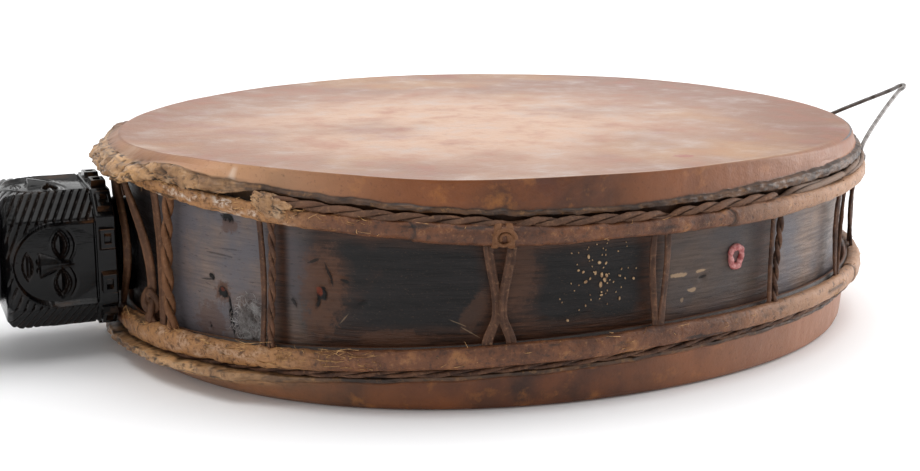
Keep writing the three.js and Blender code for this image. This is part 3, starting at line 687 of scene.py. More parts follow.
def upper_skin():
    """The upper skin. Its profile runs from the middle over the crisp lip at the edge, down the
    skirt, out and back round the ragged hem, in behind the cord and cane, and back to the
    middle underneath. Towards the handle the hem is bunched out over the cane, and behind
    the handle it hangs in front of it. Noise over angle and height crumples it."""
    count = 1000
    a = angles(count)
    edge, bunched, hanging = rim(a), gathered(a), draped(a)
    worn, thick = near(a, 338, 60, 46), near(a, 330, 58, 22)
    ridge = polar(a, edge, 0)
    cane_top = upper_cane(a) + UPPER_CANE / 2
    ragged, lumps = noise(ridge, 5, 3, 4), noise(ridge, 13, 5, 3)
    step = near(a, 213.5, 15, 14) * (a < math.radians(224))
    lip = (0.5 + 0.25 * noise(ridge, 40, 2, 2)) * (1 - worn) + 2.9 * near(a, 211, 32, 30) - 0.5 * worn
    roll = 1.1 + 7.4 * worn + 1.2 * bunched
    hem_low = cane_top + lerp(lerp(4.1, -0.2, bunched), -6.6, hanging) + 0.8 * ragged
    hem_high = hem_low + lerp(1.6 + 2.2 * thick + 0.6 * lumps, 6.8 + 1.2 * lumps - 1.2 * hanging, bunched)
    hem_out = lerp(lerp(1.5 + 1.3 * thick + 0.6 * lumps, 7.8 + 1.2 * lumps, bunched), 12.2 + lumps, hanging)
    inner = lerp(0.5, 6.4, bunched)
    top = DEPTH + 0 * a
    shoulder = lerp(np.maximum(top + lip - roll * 1.1, hem_high + 1), 93.2, hanging)
    stops = [
        (0.00, 0 * edge, top - 0.4), (0.26, edge - 16, top - 0.3),
        (0.33, edge - roll - 1.4, top + lip * 0.55), (0.37, edge - roll * 0.55, top + lip),
        (0.40, edge - roll * 0.14, top + lip - roll * 0.3),
        (0.44, edge + 2.4 * hanging + 1.5 * bunched, shoulder),
        (0.59, edge + lerp(0.4 + 5.0 * bunched, 8.6, hanging), hem_high + lerp(0.9, 2.4, hanging)),
        (0.63, edge + hem_out * 0.85, hem_high), (0.67, edge + hem_out, lerp(hem_high, hem_low, 0.3)),
        (0.72, edge + hem_out, lerp(hem_high, hem_low, 0.8)), (0.75, edge + hem_out * 0.9, hem_low),
        (0.79, edge + inner, hem_low + 0.3), (0.82, edge + inner, np.maximum(hem_low + 0.3, cane_top - 1.4)),
        (0.84, edge + lerp(0.3, 3.0, bunched), cane_top + lerp(4.6, 0.4, bunched)),
        (0.86, edge, cane_top + lerp(4.2, -1.3, bunched)), (0.88, edge, cane_top - UPPER_CANE),
        (0.89, edge - SKIN, cane_top - UPPER_CANE), (0.94, edge - SKIN, top - SKIN - 1.5),
        (0.97, edge - 6, top - SKIN), (1.00, 0 * edge, top - SKIN),
    ]
    share = np.concatenate([np.linspace(0, 0.31, 16, endpoint=False), np.linspace(0.31, 0.79, 68),
                            [0.805, 0.82, 0.84, 0.86, 0.88, 0.89, 0.94, 0.97, 1.0]])
    radius, height = through(stops, share)
    s = share[:, None]
    outside = 1 - smooth(s, 0.76, 0.79)
    on_top = 1 - smooth(s, 0.34, 0.42)
    skirt = smooth(s, 0.40, 0.46) * (1 - smooth(s, 0.58, 0.63))
    hem = smooth(s, 0.58, 0.615) * (1 - smooth(s, 0.80, 0.82))
    points = polar(a[None], radius, height)
    height = height + on_top * outside * 0.5 * noise(points, 90, 8, 2) * smooth(radius, 0, 60)
    height = height + on_top * 0.16 * noise(points, 16, 88, 3) * smooth(radius, 60, 150)
    folds = noise(points * np.array([1, 1, 0.25]), 6, 19, 3)
    radius = radius + skirt * (0.7 * noise(points, 26, 9, 2) + 0.28 * folds)
    radius = radius + 0.9 * skirt * step * smooth(folds, -0.2, 0.2)
    fine = noise(points * np.array([1, 1, 1.6]), 2.6, 14, 2)
    crumple = np.abs(noise(points * np.array([1, 1, 2.0]), 9, 12, 4))
    pits = smooth(noise(points, 5.5, 25, 2), 0.25, 0.5)
    bunch = np.clip(bunched * smooth(s, 0.55, 0.61) + hanging * smooth(s, 0.40, 0.50), 0, 1) * outside
    bulge = 3.6 * crumple - 1.2 + 0.7 * fine - 1.5 * pits
    radius = radius + outside * (hem * 0.6 * fine * (1 - bunch) + bunch * bulge)
    height = height + bunch * (1.3 * noise(points, 9, 22, 3) + 0.35 * fine)
    # painted shade for the goatskin's colour: in the hem's fine wrinkles, on the inside behind the hem, along
    # the fold under it, and in the crumples and pits of the bunched hem
    crease = hem * outside * (1 - bunch) * smooth(fine, -0.1, 0.5) * 0.7 + smooth(s, 0.74, 0.76)
    crease = crease + 0.75 * hump(s, 0.60, 0.012) * outside * (1 - bunched)
    crease = crease + 0.5 * hump(s, 0.575, 0.02) * bunched
    crease = np.maximum(crease, bunch * np.maximum(1 - smooth(crumple, 0.01, 0.06), 0.9 * pits))
    # distance from the spot where the painted highlight on the head is brightest
    highlight_distance = np.hypot(radius * np.cos(a) + 30, radius * np.sin(a) + 15)
    grazed = hump(math.degrees(1) * (a - math.radians(212.8)) + 0.25 * folds, 0, 0.3) * skirt
    # painted highlight along the crest of the lip, where it catches the light
    crest = hump(s, 0.372, 0.009) * (1 - worn) * (1 - hanging) * (0.55 + 0.45 * noise(points, 9, 26, 2))
    over_edge = smooth(s, 0.375, 0.40) * (1 - 0.75 * near(a, 190, 26, 18) * (1 - smooth(s, 0.5, 0.6)))
    values = {
        "skirt": lerp(over_edge, smooth(s, 0.36, 0.47), worn), "hem": np.clip(hem + bunch, 0, 1),
        "bunch": bunch, "crease": np.clip(crease, 0, 1), "centre": smooth(highlight_distance, 20, 205),
        "pale": np.clip(0.8 * grazed + 0.75 * crest, 0, 1) + 0 * radius,
        "east": east(a)[None] + 0 * radius, "west": west(a)[None] + 0 * radius,
    }
    skin = cap_mesh("upper_goatskin", polar(a[None], radius, height), values)
    return dress(skin, "head_upper", goatskin("goatskin_upper"))


def lower_skin():
    """The lower skin: flat underneath, a rounded foot, a skirt that leans out to a narrow
    hem under the cord, wider and crumpled under the handle, and behind the cane back to the
    middle."""
    count = 960
    a = angles(count)
    edge, foot, flare = rim(a), rim(a) * FOOT_SCALE, near(a, 192, 36, 18)
    ridge = polar(a, edge, 0)
    cane_low = lower_cane(a) - LOWER_CANE / 2
    ragged, lumps = noise(ridge, 6, 43, 4), noise(ridge, 14, 45, 3)
    hem_high = cane_low - 3.6 + 0.4 * ragged + 1.6 * flare
    hem_low = hem_high - 1.8 - 0.5 * lumps - 2.6 * flare
    hem_out = lerp(0.8 + 0.5 * lumps, 9.6 + 1.2 * lumps, flare)
    inside = hoop_outside(a, SKIN) + 0.3
    stops = [
        (0.00, 0 * foot, 0 * foot), (0.20, foot - 6, 0 * foot), (0.26, foot - 2.2, 0 * foot + 0.15),
        (0.30, foot - 0.7, 0 * foot + 1.0), (0.34, foot + 1.4 * flare, 0 * foot + 2.4),
        (0.56, lerp((foot + edge) / 2 + 0.4, edge + 5, flare), hem_low - 1),
        (0.61, edge + hem_out * 0.8, hem_low), (0.65, edge + hem_out, hem_low + 0.7),
        (0.69, edge + hem_out, hem_high - 0.4), (0.73, edge + 0.2 + 4 * flare, hem_high),
        (0.77, edge, hem_high + 0.2), (0.80, edge, cane_low + LOWER_CANE),
        (0.83, edge - SKIN, cane_low + LOWER_CANE),
        (0.92, inside, 0 * foot + SKIN), (1.00, 0 * foot, 0 * foot + SKIN),
    ]
    share = np.concatenate([np.linspace(0, 0.24, 14, endpoint=False), np.linspace(0.24, 0.77, 60),
                            [0.80, 0.83, 0.87, 0.92, 1.0]])
    radius, height = through(stops, share)
    s = share[:, None]
    skirt = smooth(s, 0.30, 0.36) * (1 - smooth(s, 0.62, 0.66))
    hem = smooth(s, 0.57, 0.62) * (1 - smooth(s, 0.77, 0.80))
    points = polar(a[None], radius, height)
    folds = noise(points * np.array([1, 1, 0.3]), 7, 39, 3)
    radius = radius + skirt * (0.7 * noise(points, 30, 49, 2) + 0.3 * folds)
    fine = noise(points * np.array([1, 1, 1.6]), 2.6, 54, 2)
    crumple = np.abs(noise(points * np.array([1, 1, 2.0]), 8, 57, 3))
    bunch = flare[None] * smooth(s, 0.44, 0.56) * (1 - smooth(s, 0.74, 0.77))
    radius = radius + hem * (1 - smooth(s, 0.74, 0.77)) * 0.45 * fine + bunch * (2.6 * crumple - 0.9)
    height = height + bunch * 0.8 * noise(points, 9, 59, 3) * smooth(height, 2, 6)
    # painted shade for the goatskin's colour: in the hem's fine wrinkles, on the inside behind the hem, and
    # in the crumples of the flared hem
    crease = hem * smooth(fine, 0.0, 0.5) * 0.6 + smooth(s, 0.71, 0.74) * (1 - smooth(s, 0.8, 0.82))
    crease = np.maximum(crease, bunch * (1 - smooth(crumple, 0.01, 0.08)))
    values = {
        "skirt": smooth(s, 0.26, 0.30) + 0 * radius, "hem": np.clip(hem + bunch, 0, 1), "bunch": bunch,
        "crease": np.clip(crease, 0, 1), "centre": smooth(radius, 20, 185), "pale": 0 * radius,
        "east": east(a)[None] + 0 * radius, "west": 0.3 * west(a)[None] + 0 * radius,
    }
    skin = cap_mesh("lower_goatskin", polar(a[None], radius, height), values)
    return dress(skin, "head_lower", goatskin("goatskin_lower"))


# ================================================================ the wooden hoop
def wooden_hoop():
    """The hoop's outside is a fine grid over angle and height, closer on the side with most
    marks, moved in and out by noise drawn out along the grain and by its holes, nicks and
    gouges; its inside is plain."""
    rows = 72
    front = np.linspace(math.radians(196), math.radians(348), 1020, endpoint=False)
    plain = np.linspace(math.radians(348), math.radians(556), 300, endpoint=False)
    a = np.concatenate([front, plain]) % TURN
    count = len(a)
    z = np.linspace(SKIN + 0.3, DEPTH - SKIN - 0.3, rows)[:, None]
    a = np.broadcast_to(a, (rows, count))
    outside = hoop_outside(a, z)
    points = polar(a, outside, z)
    grain = noise(points * np.array([1, 1, 9.0]), 30, 61, 4)
    dents = noise(points, 34, 62, 2)
    fibre = noise(points * np.array([1, 1, 4.0]), 7, 63, 2)
    depth = 0.26 * grain + 0.3 * dents + 0.1 * fibre
    values = {key: np.zeros((rows, count)) for key in ("worn", "grey")}
    wander = 2.2 * noise(points, 9, 64, 3)

    def across(degrees):
        """Distance along the outside from an angle, in millimetres."""
        return turned_from(a, math.radians(degrees)) * outside

    for degrees, height, along, tall, tilt, strength in WOOD_HOLES:
        lean = math.radians(tilt)
        beside, above = across(degrees), z - height
        u = (beside * math.cos(lean) + above * math.sin(lean)) / along
        v = (above * math.cos(lean) - beside * math.sin(lean)) / tall
        depth = depth - 1.5 * strength * np.exp(-((u * u + v * v) ** 1.5))
    scar = np.exp(-((across(224.0) / 10) ** 2 + ((z - 53 + wander) / 18) ** 2) ** 2)
    depth = depth + 1.2 * scar * noise(points, 5, 67, 3) - 0.4 * scar
    values["worn"] += 0.7 * scar
    low = 1 - smooth(z - lower_cane(a), 5, 15 + 5 * dents)
    high = smooth(z - upper_cane(a), -12 + 4 * dents, -4)
    values["worn"] += 0.75 * low + 0.55 * high
    for degrees in LACE_ANGLES:
        values["worn"] += 0.85 * hump(across(degrees) + wander, 0, 7)
    values["worn"] += 0.6 * hump(across(249) + 2 * wander, 0, 8)
    # grey: the painted sheen on the flanks, left of the handle and on the right side
    left = smooth(across(202), -24, -6) * (1 - smooth(across(217.4), -6, 4))
    values["grey"] += 0.9 * left + 0.5 * smooth(across(217.4), 4, 8) * (1 - smooth(across(221), -5, 9))
    values["grey"] += 0.95 * smooth(across(291), 2, 10) * (1 - smooth(across(332), -5, 60))
    values["grey"] += 0.38 * smooth(across(269), 0, 10) * (1 - smooth(across(291), -8, 2))
    rings = polar(a, outside + depth, z)
    heights = DEPTH - SKIN - 0.3, 47.0, SKIN + 0.3
    inner = [polar(a[0], hoop_outside(a[0], h) - HOOP_WALL, h) for h in heights]
    surface = np.concatenate([rings, np.stack(inner)])
    layers = {key: np.concatenate([np.clip(v, 0, 1), np.zeros((3, count))]) for key, v in values.items()}
    hoop = mesh_object("bent_wood_hoop", surface.reshape(-1, 3), wrapped_quads(rows + 3, count, True, True),
                       values=layers)
    return dress(hoop, "shell", smoked_wood())


# ================================================================ cane and cords
def cane_hoop(name, node, height_at, tall, splices, seed, gold, flaky, rubbed_at):
    """A cane hoop: a blunt oval section carried round, with fibres that run along it, dents,
    and a step where one length of cane is laid over the next."""
    count, around = 1500, 24
    a = angles(count)[:, None]
    t = angles(around)[None]
    ridge = polar(a, rim(a), 0)
    swell = 1 + 0.09 * noise(ridge, 40, seed, 2)
    wave = 0.5 * noise(ridge, 30, seed + 1, 2)
    radial = (CANE_OUT - 0.3) / 2 * blunt(np.cos(t), 0.8) * swell
    upright = tall / 2 * blunt(np.sin(t), 0.8) * swell
    centre = rim(a) + 0.3 + (CANE_OUT - 0.3) / 2
    points = polar(a, centre + radial, height_at(a) + upright)
    ring = polar(a, rim(a) / 7, 0)
    fibre_place = np.stack([ring[..., 0] + 3.1 * np.cos(t), ring[..., 1] + 0 * t,
                            3.1 * np.sin(t) + 0 * a], -1)
    fibres = noise(fibre_place, 1.1, seed + 2, 3)
    rubbed = noise(points, 3.2, seed + 5, 2)
    fuzzy = near(a, rubbed_at, 21, 10)
    split = smooth(noise(fibre_place, 2.4, seed + 3, 2), 0.42, 0.6)
    relief = 0.30 * fibres + (0.24 + 0.5 * fuzzy) * rubbed - 0.5 * split
    # how dark the painted shade is: in the splits, and in the step where one length of cane lies over the
    # next
    crease = 0.75 * split
    for degrees, lift in splices:
        along = turned_from(a, math.radians(degrees)) * rim(a)
        tongue = along + 2.4 * np.sin(t) ** 2
        relief = relief + lift * smooth(tongue, 0, 0.8) * (1 - smooth(along, 20, 90))
        crease = crease + 0.9 * hump(tongue, -0.3, 0.7)
    radial = radial + relief * np.cos(t)
    upright = upright + relief * np.sin(t)
    surface = polar(a, centre + radial, height_at(a) + wave + upright)
    flake = flaky * smooth(noise(points * np.array([1, 1, 2]), 7, seed + 6, 3), 0.0, 0.3)
    flake = flake * near(a, 207, 17, 10)
    values = {"crease": np.clip(crease, 0, 1), "flake": flake + 0 * t, "gold": fuzzy + 0 * t,
              "light": near(a, 318, 44, 36) + 0 * t}
    hoop = mesh_object(name, surface.reshape(-1, 3), wrapped_quads(count, around, True, True), values=values)
    return dress(hoop, node, worn_cane(name + "_finish", gold))


def twisted(path, outward, radius, pitch, strands=2, around=12, flat=0.85, seed=0, slack=None):
    """Strands wound round a path: each strand's centre turns about it once in a pitch, less
    where slack is near 1, and its own flat section turns with it. Returns the strands' points
    and how far each point lies in between the strands, where it is painted dark as shade."""
    path = np.asarray(path, float)
    steps = np.linalg.norm(np.diff(path, axis=0, prepend=path[:1]), axis=1)
    rate = 1 - (0 if slack is None else slack)
    length = np.cumsum(steps * rate)
    tubes, crease_shades = [], []
    t = angles(around)[None]
    for k in range(strands):
        wind = length / pitch * TURN + k * TURN / strands + 0.6 * noise(path, 30, seed, 2)
        size = radius * (0.62 + 0.1 * noise(path, 12, seed + 5 + k, 2))[:, None]
        shape = np.stack([size * np.cos(t), size * flat * np.sin(t)], -1)
        turned = rotated(shape, wind[:, None])
        offset = radius * 0.44 * rotated(np.array([0.0, 1.0]), wind[:, None])
        points = sweep(path, outward, turned + offset)
        points = points + 0.09 * noise(points, 1.8, seed + 9, 2)[..., None] * radius
        tubes.append(points)
        # how far in between the strands each point lies: the painted shade there
        deep = 1 - smooth(np.linalg.norm(turned + offset, axis=-1), radius * 0.28, radius * 0.58)
        crease_shades.append(np.clip(deep, 0, 1))
    return tubes, crease_shades


def upper_cord():
    """The twisted rawhide over the upper cane: it rides out between laces and dives in behind
    the cane at each of them, from one end of the bunched hem round to the other. Towards the
    wire it lies nearly flat."""
    a = np.linspace(math.radians(216), math.radians(519), 1700)
    dip = np.zeros_like(a)
    for degrees in LACE_ANGLES[2:-1]:
        dip = np.maximum(dip, hump(away_from(a, math.radians(degrees + 1.2)) * RADIUS, 0, 6))
    ridge = polar(a, rim(a), 0)
    height = upper_cane(a) + UPPER_CANE / 2 + 1.7 + 0.5 * noise(ridge, 30, 71, 2) - 2.2 * dip
    out = 2.9 + 0.4 * noise(ridge, 24, 72, 2) - 2.3 * dip
    path = polar(a, rim(a) + out, height)
    flat_part = near(a, 325, 34, 8)
    tubes, crease_shades = twisted(path, np.array([0, 0, 1.0]), 2.25, 26, seed=73, slack=0.85 * flat_part)
    grey = [(0.1 + 0.9 * flat_part)[:, None]] * 2
    cord = joined_tubes("upper_rawhide_cord", tubes, {"crease": crease_shades, "grey": grey})
    return dress(cord, "cord_upper", dry_rawhide("rawhide_cord", 0.05))


def lower_cord():
    """The thinner twist under the lower cane, closed into a ring."""
    a = np.linspace(0, TURN, 1300)
    ridge = polar(a, 160, 0)
    height = lower_cane(a) - LOWER_CANE / 2 - 1.6 + 0.5 * noise(ridge, 26, 81, 2)
    path = polar(a, rim(a) + 1.7 + 0.4 * noise(ridge, 20, 82, 2), height)
    tubes, crease_shades = twisted(path, np.array([0, 0, 1.0]), 1.75, 30, seed=83)
    cord = joined_tubes("lower_rawhide_cord", tubes, {"crease": crease_shades})
    return dress(cord, "cord_lower", dry_rawhide("rawhide_thin_cord"))


# ================================================================ laces and lashings
def strand_path(angle_at, out_at, steps=60):
    """Points from behind the upper cane down to behind the lower one. angle_at and out_at take
    the share of the drop, 0 to 1 between the canes' facing edges."""
    share = np.linspace(-0.09, 1.09, steps)
    a = angle_at(np.clip(share, 0, 1))
    top = upper_cane(a) - UPPER_CANE / 2
    bottom = lower_cane(a) + LOWER_CANE / 2
    z = top + (bottom - top) * share
    tuck = smooth(-share, 0, 0.05) + smooth(share - 1, 0, 0.05)
    return polar(a, rim(a) + out_at(np.clip(share, 0, 1)) - 1.4 * tuck, z), a, share


def flat_strand(angle_at, out_at, width, thickness, seed, twist=0.3):
    """A flat rawhide strip: a blunt section with a groove down its face, twisted a little and
    uneven in width along its length."""
    path, a, share = strand_path(angle_at, out_at)
    uneven = 1 + 0.16 * noise(path, 11, seed, 2)[:, None]
    profile = oval_profile(width, thickness, 16)[None] * uneven[..., None]
    groove = hump(profile[..., 0], width * 0.12, width * 0.11) * np.sign(profile[..., 1])
    profile[..., 1] -= 0.42 * thickness * groove * (0.6 + 0.4 * noise(path, 7, seed + 2, 2)[:, None])
    turn = (twist * np.sin(np.pi * share) + 0.25 * noise(path, 16, seed + 4, 2))[:, None]
    profile = rotated(profile, turn)
    outward = polar(a, 1.0, 0)
    points = sweep(path, outward, profile)
    points = points + 0.14 * noise(points, 1.8, seed + 6, 2)[..., None] * outward[:, None]
    # the groove's depth is returned as the painted shade down it
    return points, np.clip(0.9 * np.abs(groove), 0, 1)


def rawhide_laces():
    """Sixteen laces: pairs with one twisted strand, pairs pinched low down, pairs that narrow
    towards the bottom, and a thick twisted one on either side of the handle."""
    finish = dry_rawhide("rawhide_lace", 0.0)
    golden = dry_rawhide("rawhide_thick_lace", 0.3)
    for k, degrees in enumerate(LACE_ANGLES):
        middle, node = math.radians(degrees), "lace_%02d" % (k + 1)
        reach = float(rim(middle))
        tubes, crease_shades, material = [], [], finish
        seed = 100 + 7 * k
        if k in TWISTED_LACES:
            side = 1 if k == 0 else -1
            bow = lambda s: middle - side * (3.4 * np.sin(np.pi * s) - 0.6 * np.sin(5 * s)) / reach
            path, a, _ = strand_path(bow, lambda s: 3.0 + 0 * s, 110)
            tubes, crease_shades = twisted(path, polar(a, 1.0, 0), 2.6, 22, around=14, seed=90 + k)
            material = golden
        elif k in CROSSED_LACES:
            for side in (-1, 1):
                spread = lambda s: side * (1.2 + 3.4 * (1 - smooth(s, 0, 0.62)) + 3.6 * smooth(s, 0.7, 1))
                out = lambda s: 2.3 - 0.8 * np.sin(np.pi * s) + 0.4 * side * np.sin(np.pi * s)
                for part in (-1, 1):
                    apart = lambda s: part * (1.0 - 0.3 * np.sin(np.pi * s))
                    beside = lambda s: middle + (spread(s) + apart(s)) / reach
                    points, crease = flat_strand(beside, out, 2.3, 1.7, seed + 2 * side + part, 0.5 * part)
                    tubes.append(points)
                    crease_shades.append(crease)
        elif k % 3 == 1:
            points, crease = flat_strand(lambda s: middle + (-2.6 + 0.8 * np.sin(3 * s)) / reach,
                                         lambda s: 2.6 - 0.8 * np.sin(np.pi * s), 2.3, 1.8, seed, 0.3)
            path, a, _ = strand_path(lambda s: middle + (2.0 + 0.7 * np.sin(4 * s + 1)) / reach,
                                     lambda s: 2.6 - 0.6 * np.sin(np.pi * s), 100)
            pair, deep = twisted(path, polar(a, 1.0, 0), 1.7, 15, seed=90 + k)
            tubes, crease_shades = [points] + pair, [crease] + deep
        else:
            for side in (-1, 1):
                sway = 0.8 if side > 0 else -0.4
                spread = lambda s: side * (3.1 - 1.9 * smooth(s, 0.1, 1)) + sway * np.sin(np.pi * s)
                out = lambda s: 2.6 - 0.7 * np.sin(np.pi * s) + 0.2 * side
                points, crease = flat_strand(lambda s: middle + spread(s) / reach, out, 3.0 + 0.3 * side, 1.7,
                                             seed + side, 0.5 * side)
                tubes.append(points)
                crease_shades.append(crease)
        lace = joined_tubes("rawhide_" + node, tubes, {"crease": crease_shades})
        dress(lace, node, material)


def knot_tubes(angle, height):
    """An overhand knot of broad strap with two short tails: a trefoil path pressed flat,
    (sin t + 2 sin 2t, cos t - 2 cos 2t, -sin 3t), carried on the hoop's outside."""
    t = np.linspace(0.15, TURN - 0.15, 150)
    x, y, lift = np.sin(t) + 2 * np.sin(2 * t), np.cos(t) - 2 * np.cos(2 * t), -np.sin(3 * t)
    reach = float(rim(angle))
    path = polar(angle + 1.35 * x / reach, reach + 2.6 + 1.5 * lift, height + 2.7 * y)
    profile = oval_profile(4.0, 2.6, 12)
    # each piece comes with an even share of painted shade: a little for the knot, less for its tails
    yield sweep(path, polar(np.full(150, angle), 1.0, 0), profile), 0.3
    for lean, drop in ((-0.5, -9.0), (0.7, -7.0)):
        s = np.linspace(0, 1, 24)
        out = reach + 2.4 + 1.2 * np.sin(np.pi * s)
        path = polar(angle + (lean * 5 * s) / reach, out, height - 2 + drop * s)
        yield sweep(path, polar(np.full(24, angle), 1.0, 0), oval_profile(3.8, 2.0, 12)), 0.25


def lashing_straps():
    """Three straps from cane to cane on each side of the handle: past its waist, into the
    corner beside it where a knot closes it, and flat on the hoop."""
    finish = dry_rawhide("rawhide_strap", 0.12)
    for side, where in ((1, "front"), (-1, "back")):
        for k, (top, bottom, bow, ends_out, mid_out, width, thick, twist) in enumerate(STRAPS):
            angle_at = lambda s: math.pi + side * np.radians(lerp(top, bottom, s) + bow * np.sin(np.pi * s))
            out_at = lambda s: ends_out + (mid_out - ends_out) * np.sin(np.pi * s)
            points, crease = flat_strand(angle_at, out_at, width, thick, 300 + 10 * k + side, side * twist)
            place = "%s_%d" % (where, k + 1)
            tubes, crease_shades = [points], [crease]
            if place == "front_2":
                # the knot's pieces bring their even share of painted shade
                for loop, knot_shade in knot_tubes(math.pi + math.radians(bottom), KNOT_HEIGHT):
                    tubes.append(loop)
                    crease_shades.append(knot_shade)
            strap = joined_tubes("strap_" + place, tubes, {"crease": crease_shades})
            dress(strap, "lashing_" + place, finish)


# ================================================================ the hanging wire
def catmull(key, points, fine):
    """A smooth curve through points at uneven keys: cubic Hermite pieces whose slopes are the
    differences of each point's neighbours."""
    slope = np.gradient(points, key, axis=0)
    i = np.clip(np.searchsorted(key, fine, side="right") - 1, 0, len(key) - 2)
    span = (key[i + 1] - key[i])[:, None]
    s = (fine[:, None] - key[i][:, None]) / span
    return ((1 + 2 * s) * (1 - s) ** 2 * points[i] + s * (1 - s) ** 2 * span * slope[i]
            + s * s * (3 - 2 * s) * points[i + 1] + s * s * (s - 1) * span * slope[i + 1])


def hanging_wire():
    """A smooth wire from a turn round the cane at one foot to one at the other, straight legs
    and a rounded tip: a spline through its bends."""
    def foot(degrees):
        a = math.radians(degrees)
        out, z = float(rim(a)) + 3.1, float(upper_cane(a))
        turns = np.linspace(-0.6, 1.15, 15) * TURN
        return [polar(a - 0.003 * k, out + 4.1 * math.cos(w), z + 4.7 * math.sin(w))
                for k, w in enumerate(turns)]

    tip_angle, tip_radius, tip_height = WIRE_TIP
    tip = []
    for turn in np.linspace(-95, 95, 9):
        aside, back = 3.4 * math.sin(math.radians(turn)), 3.4 * (1 - math.cos(math.radians(turn)))
        a = math.radians(tip_angle) - aside / tip_radius
        tip.append(polar(a, tip_radius - back, tip_height + 2.5 - 0.6 * back))
    bends = np.array(foot(WIRE_FEET[0]) + tip + foot(WIRE_FEET[1])[::-1])
    key = np.concatenate([[0], np.cumsum(np.linalg.norm(np.diff(bends, axis=0), axis=1) ** 0.5)])
    path = catmull(key, bends, np.linspace(0, key[-1], 460))
    strand = sweep(path, np.array([0.35, 0.2, 1.0]), WIRE_RADIUS * round_profile(12))
    wire = joined_tubes("hanging_wire", [strand])
    return dress(wire, "wire_loop", dull_wire())


# ================================================================ the carved handle
def four_faced(turn):
    """Radius of the head's section over the distance of its faces, at a turn round it: four
    flats with cut corners."""
    quarter = np.pi / 2
    from_face = np.abs((turn + quarter / 2) % quarter - quarter / 2)
    to_corner = CORNER_DISTANCE / np.cos(quarter / 2 - from_face)
    return np.minimum(FACE_DISTANCE / np.cos(from_face), to_corner) / FACE_DISTANCE


def three_edged(turn):
    """Radius of the blade's section: full at three edges, hollow between them."""
    return 0.42 + 0.58 * (0.5 + 0.5 * np.cos(3 * turn)) ** 2


def almond(x, y, length, height):
    """Above 0 inside an almond lying along y, 1 at its middle: pointed where two arcs meet."""
    return 1 - np.abs(x) / height - (np.abs(y) / length) ** 2


def band_range(s):
    """1 along the head, 0 off it."""
    return smooth(s, CROWN_END, CROWN_END + 1) * (1 - smooth(s, HEAD_END - 2, HEAD_END))


def stroke_profile(s, y):
    """1 on the crest of a stroke of hair, 0 in the cut beside it: strokes slant as they go
    round the head."""
    phase = ((s + 0.42 * y) / 3.5) % 1.0
    return np.clip(1.35 * np.abs(np.sin(np.pi * phase)) ** 0.8, 0, 1)


def face_relief(s, y):
    """Height of a face over its flat, in millimetres, at s along the handle from the drum and y
    across: a sunk tongue-shaped field in a thin raised border, a domed mask, brows, lidded
    eyes, a wedge nose and lips, with strokes of hair outside the border."""
    eye_line, eye_aside, brow_line, mouth_line, chin_line = 16.0, 8.8, 9.4, 30.0, 36.0
    down = s - CROWN_END
    cheek = HEAD_END - 22 - CROWN_END
    half = FACE_HALF - 0.8
    tongue = np.where(down > cheek, np.hypot((down - cheek) / 19.5, y / half), np.abs(y) / half)
    inside = 1 - smooth(tongue, 0.93, 0.97)
    on_head = band_range(s)
    dome = 1.5 * np.clip(1 - (y / 18.5) ** 2 - ((down - 19) / 24) ** 2, 0, 1)
    relief = on_head * 0.55 * hump(tongue, 0.985, 0.022) + inside * (dome - 1.7)
    outer_side = np.sign(-y) * (CORNER_HALF + FACE_HALF - np.abs(y))
    cord = stroke_profile(s, outer_side)
    spandrel = smooth(tongue, 1.02, 1.05) * on_head
    relief = relief - 1.0 * spandrel * (1 - cord)
    nose_share = np.clip((down - 11.5) / 13.0, 0, 1)
    nose_half = 1.2 + 3.4 * nose_share ** 1.3
    below = 1 - smooth(down, 24.6, 25.6)
    wedge = np.clip(1.25 - np.abs(y) / nose_half, 0, 1) ** 0.8 * smooth(down, 9.5, 12.5)
    relief = relief + inside * (0.5 + 2.9 * nose_share) * wedge * below
    nostril = hump(down, 25.4, 0.7) * hump(np.abs(y), 2.0, 1.0)
    relief = relief - 0.8 * nostril
    cut = 0.5 * nostril + 0.5 * hump(tongue, 0.94, 0.02) + spandrel * (1 - cord)
    for side in (-1, 1):
        eye = almond(down - eye_line, y - side * eye_aside, 6.8, 3.3)
        ball = almond(down - eye_line, y - side * eye_aside, 5.8, 2.3)
        relief = relief + 0.5 * hump(eye, -0.12, 0.14) * inside
        relief = relief - 1.4 * smooth(eye, 0.0, 0.16) + 1.6 * np.clip(ball, 0, 1) ** 0.75
        cut = cut + smooth(eye, -0.05, 0.05) * (1 - smooth(ball, 0.1, 0.5))
        arch = down - brow_line - 0.05 * (y - side * 8.5) ** 2
        brow = hump(arch, 0, 0.5) * (1 - smooth(np.abs(y - side * eye_aside), 6, 8))
        relief = relief - 0.45 * brow * inside
        cut = cut + 0.4 * brow * inside
    mouth, lips = almond(down - mouth_line, y, 7.2, 2.6), almond(down - mouth_line, y, 6.6, 2.1)
    seam = hump(down, mouth_line, 0.35) * (1 - smooth(np.abs(y), 5, 6.4))
    relief = relief - 0.9 * smooth(mouth, 0.0, 0.2) + 1.4 * np.clip(lips, 0, 1) ** 0.7 - 0.8 * seam
    cut = cut + smooth(mouth, -0.1, 0.1) * (1 - smooth(lips, 0.1, 0.5)) + 0.8 * seam
    chin = 0.7 * hump(down, chin_line, 2.4) * hump(y, 0, 5)
    return relief + chin * inside, np.clip(cut, 0, 1)


def hair_relief(s, y):
    """Strokes of hair over a corner band, rounded cords between sharp cuts."""
    cord = stroke_profile(s, y)
    band = band_range(s) * (np.abs(y) < CORNER_HALF + 0.8)
    return band * (cord - 1), band * (1 - cord)


